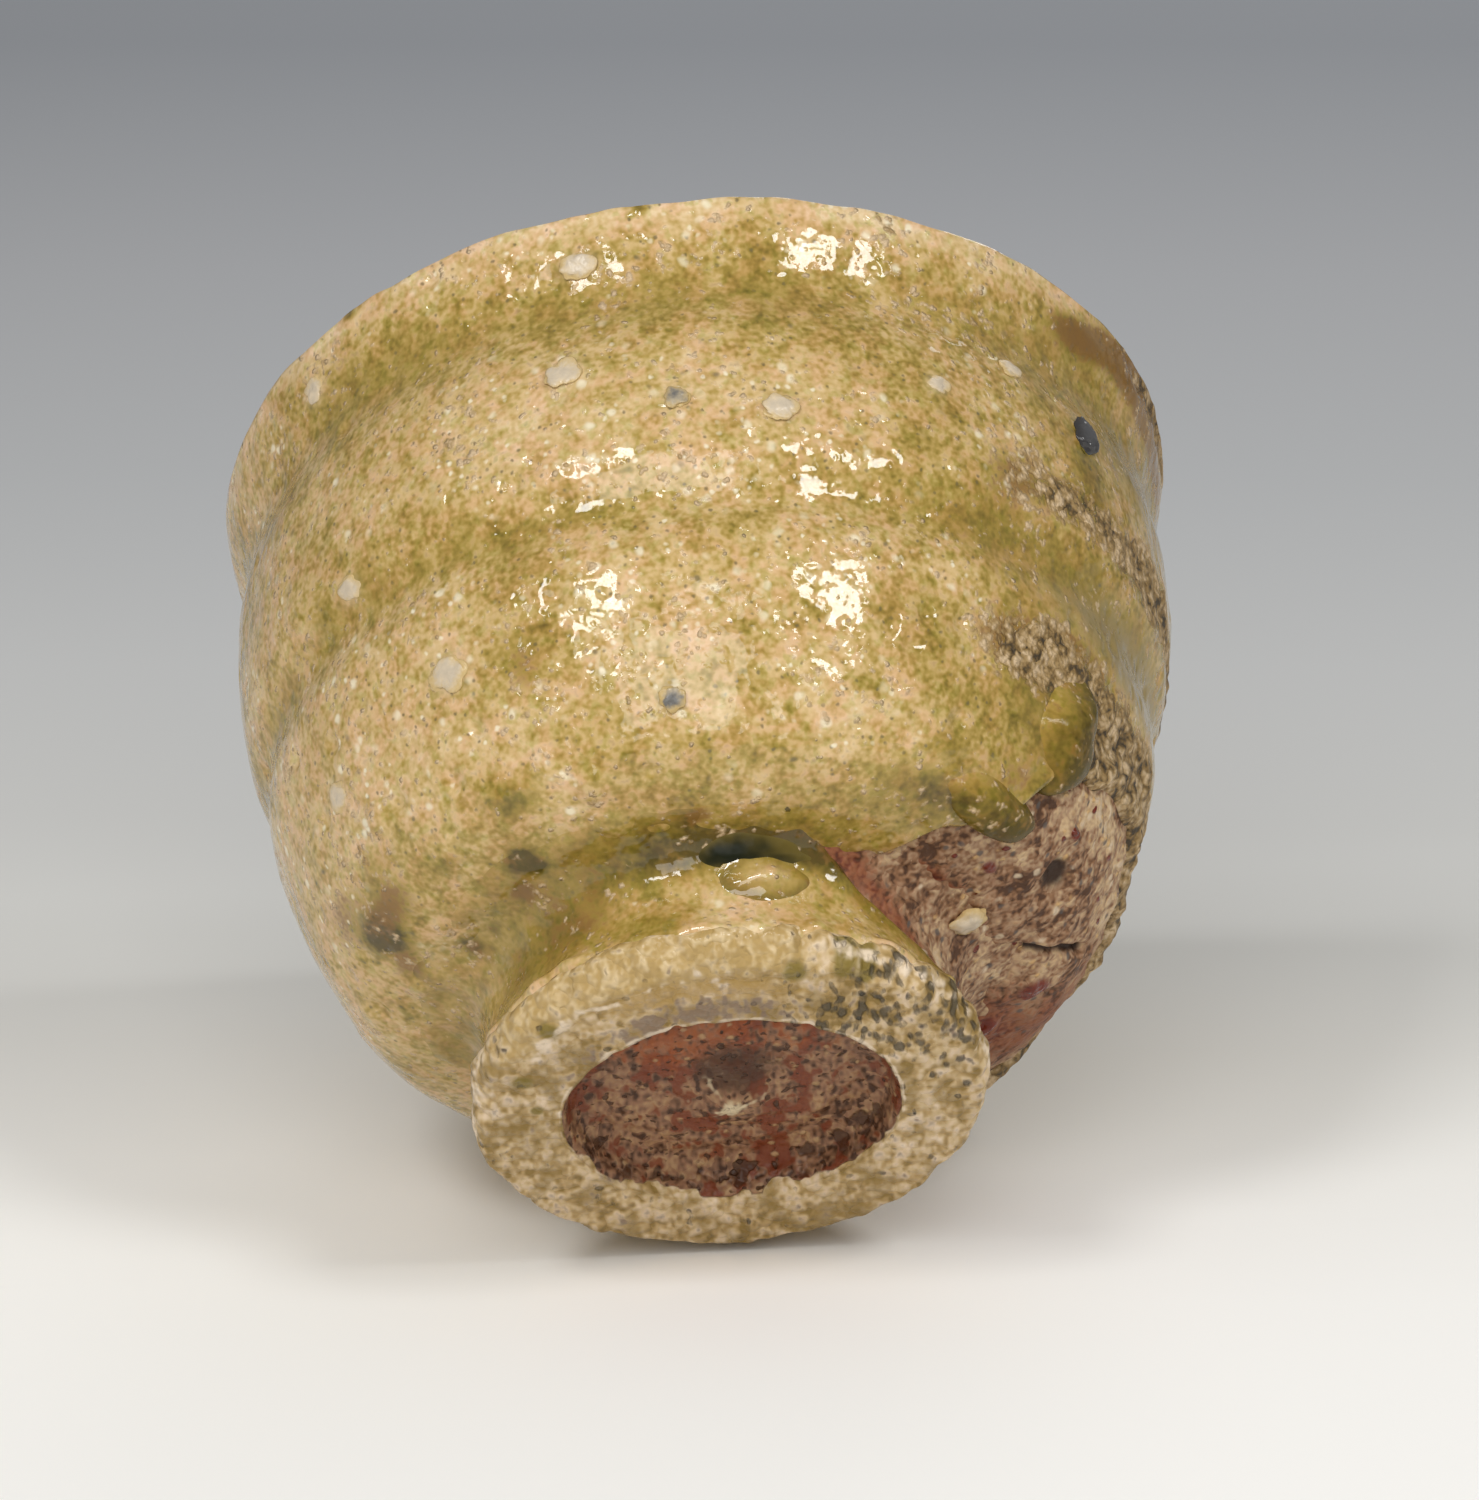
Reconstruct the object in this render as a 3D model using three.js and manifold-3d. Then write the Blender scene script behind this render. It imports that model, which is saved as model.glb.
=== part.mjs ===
// A small stoneware sake cup: a thrown bowl on a high foot, with a coat of ash glaze, glass drops and
// feldspar grains. Millimetres, +Z up. The origin lies on the table, under the middle of the rim.
// Azimuths are in degrees from +X towards +Y, so the side with the joint pool is near -90.
import * as THREE from 'three';
import { mergeVertices } from 'three/addons/utils/BufferGeometryUtils.js';
import Module from 'manifold-3d';

// Whole cup
const CUP_HEIGHT = 50.5;
const RIM_RADIUS = 32;
const LEAN = 1.27;              // sideways step from the foot's centre to the rim's
const SEGMENTS = 40;            // facets round the cup

// Wall of the bowl
const JOINT_RADIUS = 16;        // where the glazed underside meets the foot
const WALL_THICKNESS = 3.6;
const LIP_THICKNESS = 2.6;
const LIP_ROUND = 0.6;          // height of the rounded lip
const LIP_TAPER = 4;            // height over which the wall thins to the lip
const FLOOR_THICKNESS = 4.6;    // from the foot joint to the inner floor
const UPPER_GROOVE_DEPTH = 1.2;
const UPPER_GROOVE_WIDTH = 3.4;
const UPPER_GROOVE_RISE = 0.85; // share of the wall's height
const LOWER_GROOVE_DEPTH = 0.85;
const LOWER_GROOVE_WIDTH = 2.2;
const LOWER_GROOVE_RISE = 0.45; // share of the wall's height

// Foot
const FOOT_HEIGHT = 8.6;
const FOOT_RADIUS = 16.5;       // at the rounded edge near the table
const FOOT_EDGE_HEIGHT = 1.5;
const WAIST_RADIUS = 15.3;      // at the joint
const REST_RADIUS = 15.3;       // outer edge of the flat ring that stands on the table
const REST_OFFSET = 0.9;        // of that ring off the foot's centre, towards +Y
const RECESS_RADIUS = 10.7;     // at its mouth
const RECESS_OVAL = 0.5;        // longer along X, shorter along Y
const RECESS_OFFSET = 1.1;      // off the foot's centre, towards +Y
const RECESS_DEPTH = 2.2;
const RECESS_SLOPE = 1.1;       // width of the sloping wall of the recess
const PIP_RADIUS = 2.6;
const PIP_HEIGHT = 0.6;

// Glaze coats
const GLAZE_THICKNESS = 0.45;
const BOND_GAP = 0.15;          // between a coat and the clay under it
const SEAM_GAP = 0.3;           // between the outer and the inner coat, on top of the lip
const SCAR_AZIMUTH = -5;        // middle of the bare clay scar
const SCAR_SPREAD = 28;         // degrees to either side
const SCAR_RISE = 9.5;          // height of the scar over the joint
const SCAR_FADE = 0.6;          // below this height over the joint the scar's edge runs out
const FOOT_COAT_LOW = 1.9;
const FOOT_COAT_DROP = 0.7;     // from the joint down to the coat on the foot
const FOOT_BARE_START = -50;    // the foot has no coat from here
const FOOT_BARE_END = 44;       // to here

// Glass lumps and stones
const SEAT_GAP = 0.3;           // round each stone and lump
const POOL_RADIUS = 0.75;
const POOL_START = -97;
const POOL_END = -60;
const DROP_SINK = 0.2;          // centre of a glass drop below the glaze's surface
const STONE_DEPTH = 1;          // half depth of a stone in the wall
const STONE_PROUD = 0.25;       // how far a stone stands out of the glaze

// Each row holds azimuth, share of the wall's height, half width, half height and half depth
const DROPS = {
  glaze_drop_side: [-28, 0.215, 1.6, 3.1, 1.3],
  glaze_drop_low: [-37.5, 0.062, 2.7, 1.9, 1.2],
};
const FOOT_BEAD = { azimuth: -77, drop: 2.9, half: [2.4, 1.1, 1] };
const DARK_BEAD = [-33.2, 0.732, 1, 1.4];

// Each row holds azimuth, share of the wall's height, half width and half height
const GRAINS = [
  [-125, 0.261, 1.4, 1.2],
  [-104, 0.698, 1.3, 1.1],
  [-101.5, 0.913, 1.2, 0.9],
  [-141.5, 0.92, 1, 1],
  [-151, 0.217, 1.1, 0.95],
  [-78.2, 0.589, 1.2, 1],
  [-90.5, 0.614, 0.9, 0.85],
  [-94, 0.126, 0.85, 0.8],
  [-45.8, 0.783, 0.9, 0.75],
  [-58, 0.681, 0.85, 0.75],
  [-138, 0.498, 0.95, 0.9],
  [-17, 0.004, 1.3, 0.8],
];

// Shape of the outer wall from the joint to the lip: share of its height, share of its widening
const WALL_SHAPE = [
  [0, 0], [0.019, 0.27], [0.058, 0.48], [0.118, 0.605], [0.203, 0.71], [0.287, 0.79],
  [0.45, 0.895], [0.58, 0.95], [0.72, 0.97], [0.85, 0.985], [1, 1],
];
const WALL_ROWS = [
  0, 0.01, 0.03, 0.065, 0.12, 0.2, 0.29, 0.38, 0.45, 0.53, 0.62, 0.72, 0.79, 0.85, 0.92, 1,
];
const FLOOR_ROWS = [0.93, 0.8, 0.66, 0.52, 0.38, 0.25, 0.14, 0.06, 0.02];

const wasm = await Module();
wasm.setup();

// Colours and finishes
const finish = (color, roughness) => new THREE.MeshStandardMaterial({ color, roughness, metalness: 0 });
const CLAY = finish(0x8a5a4c, 0.8);
const GLAZE = finish(0xb59a66, 0.22);
const POOL_GLASS = finish(0x2f3418, 0.1);
const DROP_GLASS = finish(0x5c5423, 0.12);
const BEAD_GLASS = finish(0xa9a06a, 0.08);
const DARK_GLASS = finish(0x24262a, 0.15);
const FELDSPAR = finish(0xd9cfc0, 0.35);

const radians = THREE.MathUtils.degToRad;
const wallSpan = CUP_HEIGHT - LIP_ROUND - FOOT_HEIGHT;
const floorHeight = FOOT_HEIGHT + FLOOR_THICKNESS;
const leanAt = (z) => LEAN * (z / CUP_HEIGHT - 1);
const bump = (distance, width) => Math.exp(-((distance / width) ** 2));

// Radius of the glazed outer wall at a share of its height: a smooth curve less the two thrown grooves
const wallCurve = new THREE.CatmullRomCurve3(
  WALL_SHAPE.map(([rise, out]) => new THREE.Vector3(out, rise, 0)),
);

function wallRadius(rise) {
  let low = 0;
  let high = 1;
  for (let step = 0; step < 40; step += 1) {
    const middle = (low + high) / 2;
    if (wallCurve.getPoint(middle).y < rise) low = middle;
    else high = middle;
  }
  const base = JOINT_RADIUS + (RIM_RADIUS - JOINT_RADIUS) * wallCurve.getPoint(low).x;
  const upper = UPPER_GROOVE_DEPTH * bump((rise - UPPER_GROOVE_RISE) * wallSpan, UPPER_GROOVE_WIDTH);
  const lower = LOWER_GROOVE_DEPTH * bump((rise - LOWER_GROOVE_RISE) * wallSpan, LOWER_GROOVE_WIDTH);
  return base - upper - lower;
}

const wallHeight = (rise) => FOOT_HEIGHT + rise * wallSpan;

// The glazed surface in section, as two lines of [radius, height]: up the outside and down the inside
const outerLine = WALL_ROWS.map((rise) => [wallRadius(rise), wallHeight(rise)]);
const lipMiddle = RIM_RADIUS - LIP_THICKNESS / 2;
outerLine.push([lipMiddle + LIP_THICKNESS * 0.36, CUP_HEIGHT - LIP_ROUND * 0.28]);
outerLine.push([lipMiddle + SEAM_GAP / 2, CUP_HEIGHT]);

const innerLine = [
  [lipMiddle - SEAM_GAP / 2, CUP_HEIGHT],
  [lipMiddle - LIP_THICKNESS * 0.36, CUP_HEIGHT - LIP_ROUND * 0.28],
  [RIM_RADIUS - LIP_THICKNESS, CUP_HEIGHT - LIP_ROUND],
];
const lipFoot = CUP_HEIGHT - LIP_ROUND;
for (const share of FLOOR_ROWS) {
  const z = floorHeight + share * (lipFoot - floorHeight);
  const thinning = (WALL_THICKNESS - LIP_THICKNESS) * Math.exp((z - lipFoot) / LIP_TAPER);
  const inside = wallRadius((z - FOOT_HEIGHT) / wallSpan) - WALL_THICKNESS + thinning;
  innerLine.push([inside * (1 - (1 - share) ** 4) ** 0.4, z]);
}
innerLine.push([0, floorHeight]);

// Moves each point of a section line into the clay, square to the line
function sunk(line, depth) {
  return line.map(([r, z], i) => {
    const before = line[Math.max(i - 1, 0)];
    const after = line[Math.min(i + 1, line.length - 1)];
    const dr = after[0] - before[0];
    const dz = after[1] - before[1];
    const length = Math.hypot(dr, dz);
    return [r === 0 ? 0 : r - (dz / length) * depth, z + (dr / length) * depth];
  });
}

// One closed surface with shared corners, from any three.js geometry
function closed(geometry) {
  geometry.deleteAttribute('normal');
  geometry.deleteAttribute('uv');
  const merged = mergeVertices(geometry, 1e-4);
  const index = merged.index.array;
  const kept = [];
  for (let i = 0; i < index.length; i += 3) {
    const [a, b, c] = [index[i], index[i + 1], index[i + 2]];
    if (a !== b && b !== c && c !== a) kept.push(a, b, c);
  }
  merged.setIndex(kept);
  return merged;
}

// A section line turned about the axis; bend moves each corner, knowing its place on the line
function turned(line, bend) {
  const points = line.map(([r, z]) => new THREE.Vector2(r, z));
  const geometry = new THREE.LatheGeometry(points, SEGMENTS);
  geometry.rotateX(Math.PI / 2);
  const corners = geometry.attributes.position;
  const corner = new THREE.Vector3();
  for (let i = 0; i < corners.count; i += 1) {
    corner.fromBufferAttribute(corners, i);
    bend(corner, i % line.length);
    corners.setXYZ(i, corner.x, corner.y, corner.z);
  }
  return closed(geometry);
}

const lean = (corner) => {
  corner.x += leanAt(corner.z);
};

function solid(geometry) {
  const vertProperties = Float32Array.from(geometry.attributes.position.array);
  const triVerts = Uint32Array.from(geometry.index.array);
  return new wasm.Manifold(new wasm.Mesh({ numProp: 3, vertProperties, triVerts }));
}

function geometryOf(body) {
  const mesh = body.getMesh();
  const geometry = new THREE.BufferGeometry();
  geometry.setAttribute('position', new THREE.BufferAttribute(Float32Array.from(mesh.vertProperties), 3));
  geometry.setIndex(Array.from(mesh.triVerts));
  return geometry;
}

// Position and directions on the glazed wall at an azimuth and a share of its height
function wallFrame(azimuth, rise) {
  const step = 0.004;
  const dr = wallRadius(Math.min(rise + step, 1)) - wallRadius(Math.max(rise - step, 0));
  const dz = wallHeight(Math.min(rise + step, 1)) - wallHeight(Math.max(rise - step, 0));
  return frameOn(azimuth, wallRadius(rise), wallHeight(rise), dr, dz);
}

function frameOn(azimuth, radius, z, dr, dz) {
  const angle = radians(azimuth);
  const out = new THREE.Vector3(Math.cos(angle), Math.sin(angle), 0);
  const up = new THREE.Vector3(out.x * dr, out.y * dr, dz).normalize();
  const round = new THREE.Vector3(-out.y, out.x, 0);
  const normal = new THREE.Vector3().crossVectors(round, up);
  const point = out.multiplyScalar(radius);
  point.x += leanAt(z);
  point.z = z;
  return { point, basis: new THREE.Matrix4().makeBasis(round, up, normal), normal };
}

// A rounded, slightly uneven pebble of the given half sizes, set into a surface at a depth
function pebble(frame, half, depth, grow) {
  const geometry = new THREE.IcosahedronGeometry(1, 1);
  const size = new THREE.Vector3(...half).addScalar(grow);
  const place = frame.basis.clone().scale(size);
  place.setPosition(frame.point.clone().addScaledVector(frame.normal, -depth));
  return closed(geometry.applyMatrix4(place));
}

const clayDepth = GLAZE_THICKNESS + BOND_GAP;
const surfaceLine = [...outerLine, ...innerLine];
const backLine = sunk(surfaceLine, GLAZE_THICKNESS);
const bowlLine = [[0, FOOT_HEIGHT], [WAIST_RADIUS, FOOT_HEIGHT], ...sunk(surfaceLine, clayDepth)];
const outerBack = backLine.slice(0, outerLine.length).reverse();
const outerCoatLine = [...outerLine, ...outerBack, outerLine[0]];
const innerCoatLine = [...backLine.slice(outerLine.length).reverse(), ...innerLine];

// Rows of the outer coat that lie below the edge of the scar are drawn up to that edge
function scarBend(corner, place) {
  const azimuth = THREE.MathUtils.radToDeg(Math.atan2(corner.y, corner.x));
  const edge = (SCAR_RISE * bump(azimuth - SCAR_AZIMUTH, SCAR_SPREAD) - SCAR_FADE) / wallSpan;
  const onBack = place >= outerLine.length && place < 2 * outerLine.length;
  const row = (onBack ? 2 * outerLine.length - 1 - place : place) % outerLine.length;
  if (row < WALL_ROWS.length && WALL_ROWS[row] < edge) {
    const { point, normal } = wallFrame(azimuth, edge);
    corner.copy(point).addScaledVector(normal, onBack ? -GLAZE_THICKNESS : 0);
    return;
  }
  lean(corner);
}

// Foot, with the recess moved off centre and drawn into an oval
const recessLine = [
  [0, RECESS_DEPTH - PIP_HEIGHT],
  [PIP_RADIUS * 0.55, RECESS_DEPTH - PIP_HEIGHT * 0.7],
  [PIP_RADIUS, RECESS_DEPTH],
  [RECESS_RADIUS - RECESS_SLOPE, RECESS_DEPTH],
  [RECESS_RADIUS - RECESS_SLOPE * 0.45, RECESS_DEPTH * 0.4],
  [RECESS_RADIUS, 0],
];
const footFlare = FOOT_RADIUS - WAIST_RADIUS;
const footRise = FOOT_HEIGHT - FOOT_EDGE_HEIGHT;
const sideLine = [
  [REST_RADIUS, 0],
  [REST_RADIUS + (FOOT_RADIUS - REST_RADIUS) * 0.75, FOOT_EDGE_HEIGHT * 0.4],
  [FOOT_RADIUS, FOOT_EDGE_HEIGHT],
  [WAIST_RADIUS + footFlare * 0.45, FOOT_EDGE_HEIGHT + footRise * 0.22],
  [WAIST_RADIUS, FOOT_EDGE_HEIGHT + footRise * 0.62],
  [WAIST_RADIUS, FOOT_HEIGHT],
];
const footLine = [...recessLine, ...sideLine, [0, FOOT_HEIGHT]];

function footBend(corner, place) {
  if (place < recessLine.length) {
    corner.x *= 1 + RECESS_OVAL / RECESS_RADIUS;
    corner.y *= 1 - RECESS_OVAL / RECESS_RADIUS;
    corner.y += RECESS_OFFSET;
  } else {
    corner.y += REST_OFFSET * Math.max(1 - corner.z / FOOT_EDGE_HEIGHT, 0);
  }
  lean(corner);
}

// Radius of the clay on the side of the foot at a height
function footRadius(z) {
  const above = sideLine.findIndex(([, height]) => height >= z);
  const [r1, z1] = sideLine[above];
  const [r0, z0] = sideLine[above - 1];
  return r0 + ((r1 - r0) * (z - z0)) / (z1 - z0);
}

const footCoatTop = FOOT_HEIGHT - FOOT_COAT_DROP;
const footCoatSpan = footCoatTop - FOOT_COAT_LOW;
const footCoatHeights = [0, 0.3, 0.65, 1].map((share) => FOOT_COAT_LOW + share * footCoatSpan);
const footCoatOuter = footCoatHeights.map((z) => [footRadius(z) + clayDepth + BOND_GAP, z]);
const footCoatInner = footCoatHeights.map((z) => [footRadius(z) + 2 * BOND_GAP, z]).reverse();
const footCoatLine = [...footCoatOuter, ...footCoatInner, footCoatOuter[0]];

// The side of the foot that carries no coat, as a wedge from the axis outwards
function footBareWedge() {
  const reach = FOOT_RADIUS * 2;
  const wedge = new THREE.Shape([new THREE.Vector2(0, 0)]);
  for (const share of [0, 0.5, 1]) {
    const angle = radians(FOOT_BARE_START + share * (FOOT_BARE_END - FOOT_BARE_START));
    wedge.lineTo(reach * Math.cos(angle), reach * Math.sin(angle));
  }
  return closed(new THREE.ExtrudeGeometry(wedge, { depth: FOOT_HEIGHT, bevelEnabled: false }));
}

// Glass that ran into the crevice between bowl and foot: a long spindle bent round the foot
function poolGeometry() {
  const radius = WAIST_RADIUS + 2 * BOND_GAP + GLAZE_THICKNESS + SEAT_GAP + POOL_RADIUS;
  const height = FOOT_HEIGHT - SEAT_GAP - POOL_RADIUS;
  const length = radians(POOL_END - POOL_START) * radius;
  const spindle = [];
  for (let i = 0; i <= 14; i += 1) {
    const along = -Math.cos((Math.PI * i) / 14);
    const thickness = POOL_RADIUS * Math.sqrt(Math.max(1 - along * along, 0));
    spindle.push(new THREE.Vector2(thickness, (along * length) / 2));
  }
  const geometry = new THREE.LatheGeometry(spindle, 10);
  const corners = geometry.attributes.position;
  const middle = radians((POOL_START + POOL_END) / 2);
  for (let i = 0; i < corners.count; i += 1) {
    const angle = middle + corners.getY(i) / radius;
    const out = radius + corners.getX(i);
    const z = height + corners.getZ(i);
    corners.setXYZ(i, out * Math.cos(angle) + leanAt(z), out * Math.sin(angle), z);
  }
  return closed(geometry);
}

// Stones and lumps, each with the larger seat that is cut for it
const stones = GRAINS.map(([azimuth, rise, width, height], i) => ({
  name: `feldspar_grain_${String(i + 1).padStart(2, '0')}`,
  frame: wallFrame(azimuth, rise),
  half: [width, height, STONE_DEPTH],
  material: FELDSPAR,
}));
stones.push({
  name: 'dark_bead',
  frame: wallFrame(DARK_BEAD[0], DARK_BEAD[1]),
  half: [DARK_BEAD[2], DARK_BEAD[3], STONE_DEPTH],
  material: DARK_GLASS,
});
const drops = Object.entries(DROPS).map(([name, [azimuth, rise, ...half]]) => ({
  name,
  frame: wallFrame(azimuth, rise),
  half,
}));
const footBeadHeight = FOOT_HEIGHT - FOOT_BEAD.drop;
const footBeadSeat = footRadius(footBeadHeight) + clayDepth;
const footBeadFrame = frameOn(FOOT_BEAD.azimuth, footBeadSeat, footBeadHeight, 0, 1);

let bowl = solid(turned(bowlLine, lean));
let outerGlaze = solid(turned(outerCoatLine, scarBend));
const stoneSink = STONE_DEPTH - STONE_PROUD;
for (const stone of stones) {
  const seat = solid(pebble(stone.frame, stone.half, stoneSink, SEAT_GAP));
  bowl = bowl.subtract(seat);
  outerGlaze = outerGlaze.subtract(seat);
}

const clearOfClay = sunk(outerLine, clayDepth - SEAT_GAP);
const clearSpace = solid(turned([[0, FOOT_HEIGHT - 1], ...clearOfClay, [0, CUP_HEIGHT]], lean));
const dropBodies = drops.map(({ name, frame, half }) => {
  outerGlaze = outerGlaze.subtract(solid(pebble(frame, half, DROP_SINK, SEAT_GAP)));
  return [name, solid(pebble(frame, half, DROP_SINK, 0)).subtract(clearSpace)];
});

let footGlaze = solid(turned(footCoatLine, lean));
footGlaze = footGlaze.subtract(solid(footBareWedge()));
footGlaze = footGlaze.subtract(solid(pebble(footBeadFrame, FOOT_BEAD.half, DROP_SINK, SEAT_GAP)));
const footClearSide = sideLine.slice(2).map(([r, z]) => [r + SEAT_GAP, z]);
const footClear = solid(turned([[0, FOOT_EDGE_HEIGHT], ...footClearSide, [0, FOOT_HEIGHT]], lean));
const footBead = solid(pebble(footBeadFrame, FOOT_BEAD.half, DROP_SINK, 0)).subtract(footClear);

const cup = new THREE.Group();

function add(name, geometry, material) {
  geometry.computeVertexNormals();
  const mesh = new THREE.Mesh(geometry, material);
  mesh.name = name;
  cup.add(mesh);
}

add('bowl', geometryOf(bowl), CLAY);
add('foot', turned(footLine, footBend), CLAY);
add('outer_glaze', geometryOf(outerGlaze), GLAZE);
add('inner_glaze', turned(innerCoatLine, lean), GLAZE);
add('foot_glaze', geometryOf(footGlaze), GLAZE);
add('joint_pool', poolGeometry(), POOL_GLASS);
add('foot_glass_bead', geometryOf(footBead), BEAD_GLASS);
dropBodies.forEach(([name, body]) => add(name, geometryOf(body), DROP_GLASS));
stones.forEach(({ name, frame, half, material }) => add(name, pebble(frame, half, stoneSink, 0), material));

export default cup;
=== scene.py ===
"""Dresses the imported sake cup: gritty clay, wet ash glaze, glass drops and pale stones.

Sizes are in millimetres until a mesh is written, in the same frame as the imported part: +Z up along
the cup, -Y towards the side with the glass pool, +X towards the bare scar. Azimuths are in degrees
from +X towards +Y.
"""

import itertools
import logging
import math
from dataclasses import dataclass, field
from enum import Enum
from typing import Union

import bpy
import numpy as np
from mathutils import Matrix, Vector


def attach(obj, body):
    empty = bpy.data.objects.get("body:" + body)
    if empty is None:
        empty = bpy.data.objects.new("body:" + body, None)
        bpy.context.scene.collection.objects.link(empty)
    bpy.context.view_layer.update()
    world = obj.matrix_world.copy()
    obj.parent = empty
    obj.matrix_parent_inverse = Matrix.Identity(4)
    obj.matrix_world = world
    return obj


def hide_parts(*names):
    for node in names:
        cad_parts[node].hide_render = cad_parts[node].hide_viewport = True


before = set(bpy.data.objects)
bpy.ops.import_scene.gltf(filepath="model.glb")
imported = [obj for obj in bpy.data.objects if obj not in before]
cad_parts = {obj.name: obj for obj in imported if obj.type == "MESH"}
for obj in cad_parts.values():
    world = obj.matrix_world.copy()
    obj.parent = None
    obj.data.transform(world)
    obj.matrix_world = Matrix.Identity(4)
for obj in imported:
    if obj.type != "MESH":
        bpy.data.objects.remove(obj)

LOG = logging.getLogger("sake_cup")
MM = 0.001

Array = np.ndarray
Amount = Union[float, Array]
Rows = tuple[tuple[float, ...], ...]
Colour = tuple[float, float, float]
Feed = Union["Wire", float, Colour]

CLAY_SHEEN = 0.25


class Slot(Enum):
    """The record's material slots; each piece is handed one."""

    CLAY = "clay"
    FOOT_CLAY = "foot_clay"
    ASH_GLAZE = "ash_glaze"
    INNER_GLAZE = "inner_ash_glaze"
    FOOT_GLAZE = "foot_ash_glaze"
    POOL = "pool_glass"
    BEAD = "bead_glass"
    DROP = "drop_glass"
    DARK = "dark_glass"
    STONE = "feldspar"


# Noise and small curve helpers


def hashed(cells: Array, seed: int) -> Array:
    """Turns whole-number cells into fixed pseudo-random values from 0 to 1.

    Each coordinate is multiplied by a large odd number, the products are joined by exclusive or,
    and shifts and products stir the bits; the low 24 bits give the value.

    Args:
        cells: Whole-number coordinates, with x, y and z on the last axis.
        seed: Picks one of many independent fields.

    Returns:
        One value for each cell.
    """
    whole = cells.astype(np.int64).astype(np.uint32)
    mixed = whole[..., 0] * np.uint32(0x8DA6B343)
    mixed = mixed ^ (whole[..., 1] * np.uint32(0xD8163841))
    mixed = mixed ^ (whole[..., 2] * np.uint32(0xCB1AB31F))
    mixed = mixed ^ np.uint32((seed * 0x9E3779B1) & 0xFFFFFFFF)
    mixed = (mixed ^ (mixed >> np.uint32(15))) * np.uint32(0x2C1B3C6D)
    mixed = (mixed ^ (mixed >> np.uint32(12))) * np.uint32(0x297A2D39)
    mixed = mixed ^ (mixed >> np.uint32(15))
    return (mixed & np.uint32(0xFFFFFF)) / float(0x1000000)


def slant(turned: float, tilted: float) -> Array:
    """A turn about Z and then a tilt about X, in radians, as a rotation matrix."""
    return np.array(Matrix.Rotation(tilted, 3, "X") @ Matrix.Rotation(turned, 3, "Z"))


SLANTS = (slant(0.6, 0.9), slant(2.3, 2.0))


def lumps(points: Array, cell: float, seed: int) -> Array:
    """Smooth noise about 0: two slanted grids of hashed corners, each blended by a fifth-power ease.

    Args:
        points: Places in millimetres.
        cell: Distance between the corners.
        seed: Picks the field.

    Returns:
        One value for each place, mostly from -1 to 1.
    """
    steps = np.array(list(itertools.product((0, 1), repeat=3)))
    fields = []
    for number, slanted in enumerate(SLANTS):
        scaled = points @ slanted / cell
        base = np.floor(scaled)
        part = scaled - base
        eased = part**3 * (part * (part * 6 - 15) + 10)
        weights = np.where(steps, eased[..., None, :], 1 - eased[..., None, :]).prod(axis=-1)
        corners = hashed(base[..., None, :] + steps, seed + 500 * number)
        fields.append((corners * weights).sum(axis=-1) * 2 - 1)
    return np.sum(fields, axis=0) / math.sqrt(len(SLANTS))


def rough(points: Array, cell: float, seed: int, octaves: int = 3) -> Array:
    """Adds fields of lumps, each half as wide and half as high as the one before.

    Args:
        points: Places in millimetres.
        cell: Distance between the corners of the first field.
        seed: Picks the first field.
        octaves: Number of fields.

    Returns:
        One value for each place, mostly from -1 to 1.
    """
    shares = 0.5 ** np.arange(octaves)
    fields = [lumps(points, cell * share, seed + n) * share for n, share in enumerate(shares)]
    return np.sum(fields, axis=0) / shares.sum()


def craters(points: Array, cell: float, seed: int) -> tuple[Array, Array]:
    """Distance to the nearest of one scattered centre per cell, and that centre's own chance value.

    Args:
        points: Places in millimetres.
        cell: Width of a cell.
        seed: Picks the field.

    Returns:
        The distance in millimetres, and a value from 0 to 1 that is fixed for each centre.
    """
    scaled = points / cell
    steps = np.array(list(itertools.product((-1, 0, 1), repeat=3)))
    corners = np.floor(scaled)[..., None, :] + steps
    jitter = np.stack([hashed(corners, seed + n) for n in range(3)], axis=-1)
    gaps = np.linalg.norm(corners + jitter - scaled[..., None, :], axis=-1)
    nearest = gaps.argmin(axis=-1)[..., None]
    chance = np.take_along_axis(hashed(corners, seed + 3), nearest, axis=-1)[..., 0]
    return np.take_along_axis(gaps, nearest, axis=-1)[..., 0] * cell, chance


def ease(value: Amount, low: Amount, high: Amount) -> Array:
    """Rises smoothly from 0 at low to 1 at high, by 3t squared less 2t cubed."""
    share = np.clip((value - low) / (high - low), 0.0, 1.0)
    return share * share * (3 - 2 * share)


def fall(value: Amount, low: Amount, high: Amount) -> Array:
    """Falls smoothly from 1 at low to 0 at high."""
    return 1 - ease(value, low, high)


def between(value: Amount, low: Amount, full: Amount, fading: Amount, gone: Amount) -> Array:
    """Rises smoothly from 0 at low to 1 at full, and falls from 1 at fading to 0 at gone."""
    return ease(value, low, full) * fall(value, fading, gone)


def bell(value: Amount, middle: float, half: float) -> Array:
    """A bell of height 1 round the middle, e to the minus squared share of the half width."""
    return np.exp(-(((value - middle) / half) ** 2))


def turn(azimuth: Amount, middle: float) -> Array:
    """Difference between azimuths in degrees, brought between -180 and 180."""
    return (azimuth - middle + 180.0) % 360.0 - 180.0


def lobe(azimuth: Amount, middle: float, half: float) -> Array:
    """A bell round an azimuth, with its half width in degrees."""
    return bell(turn(azimuth, middle), 0, half)


def round_points(azimuth: Amount, radius: float) -> Array:
    """Points on a circle round the axis at height 0: cosine and sine of the azimuth times the radius."""
    around = np.radians(azimuth)
    return np.stack([np.cos(around), np.sin(around), np.zeros_like(around)], axis=-1) * radius


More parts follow.
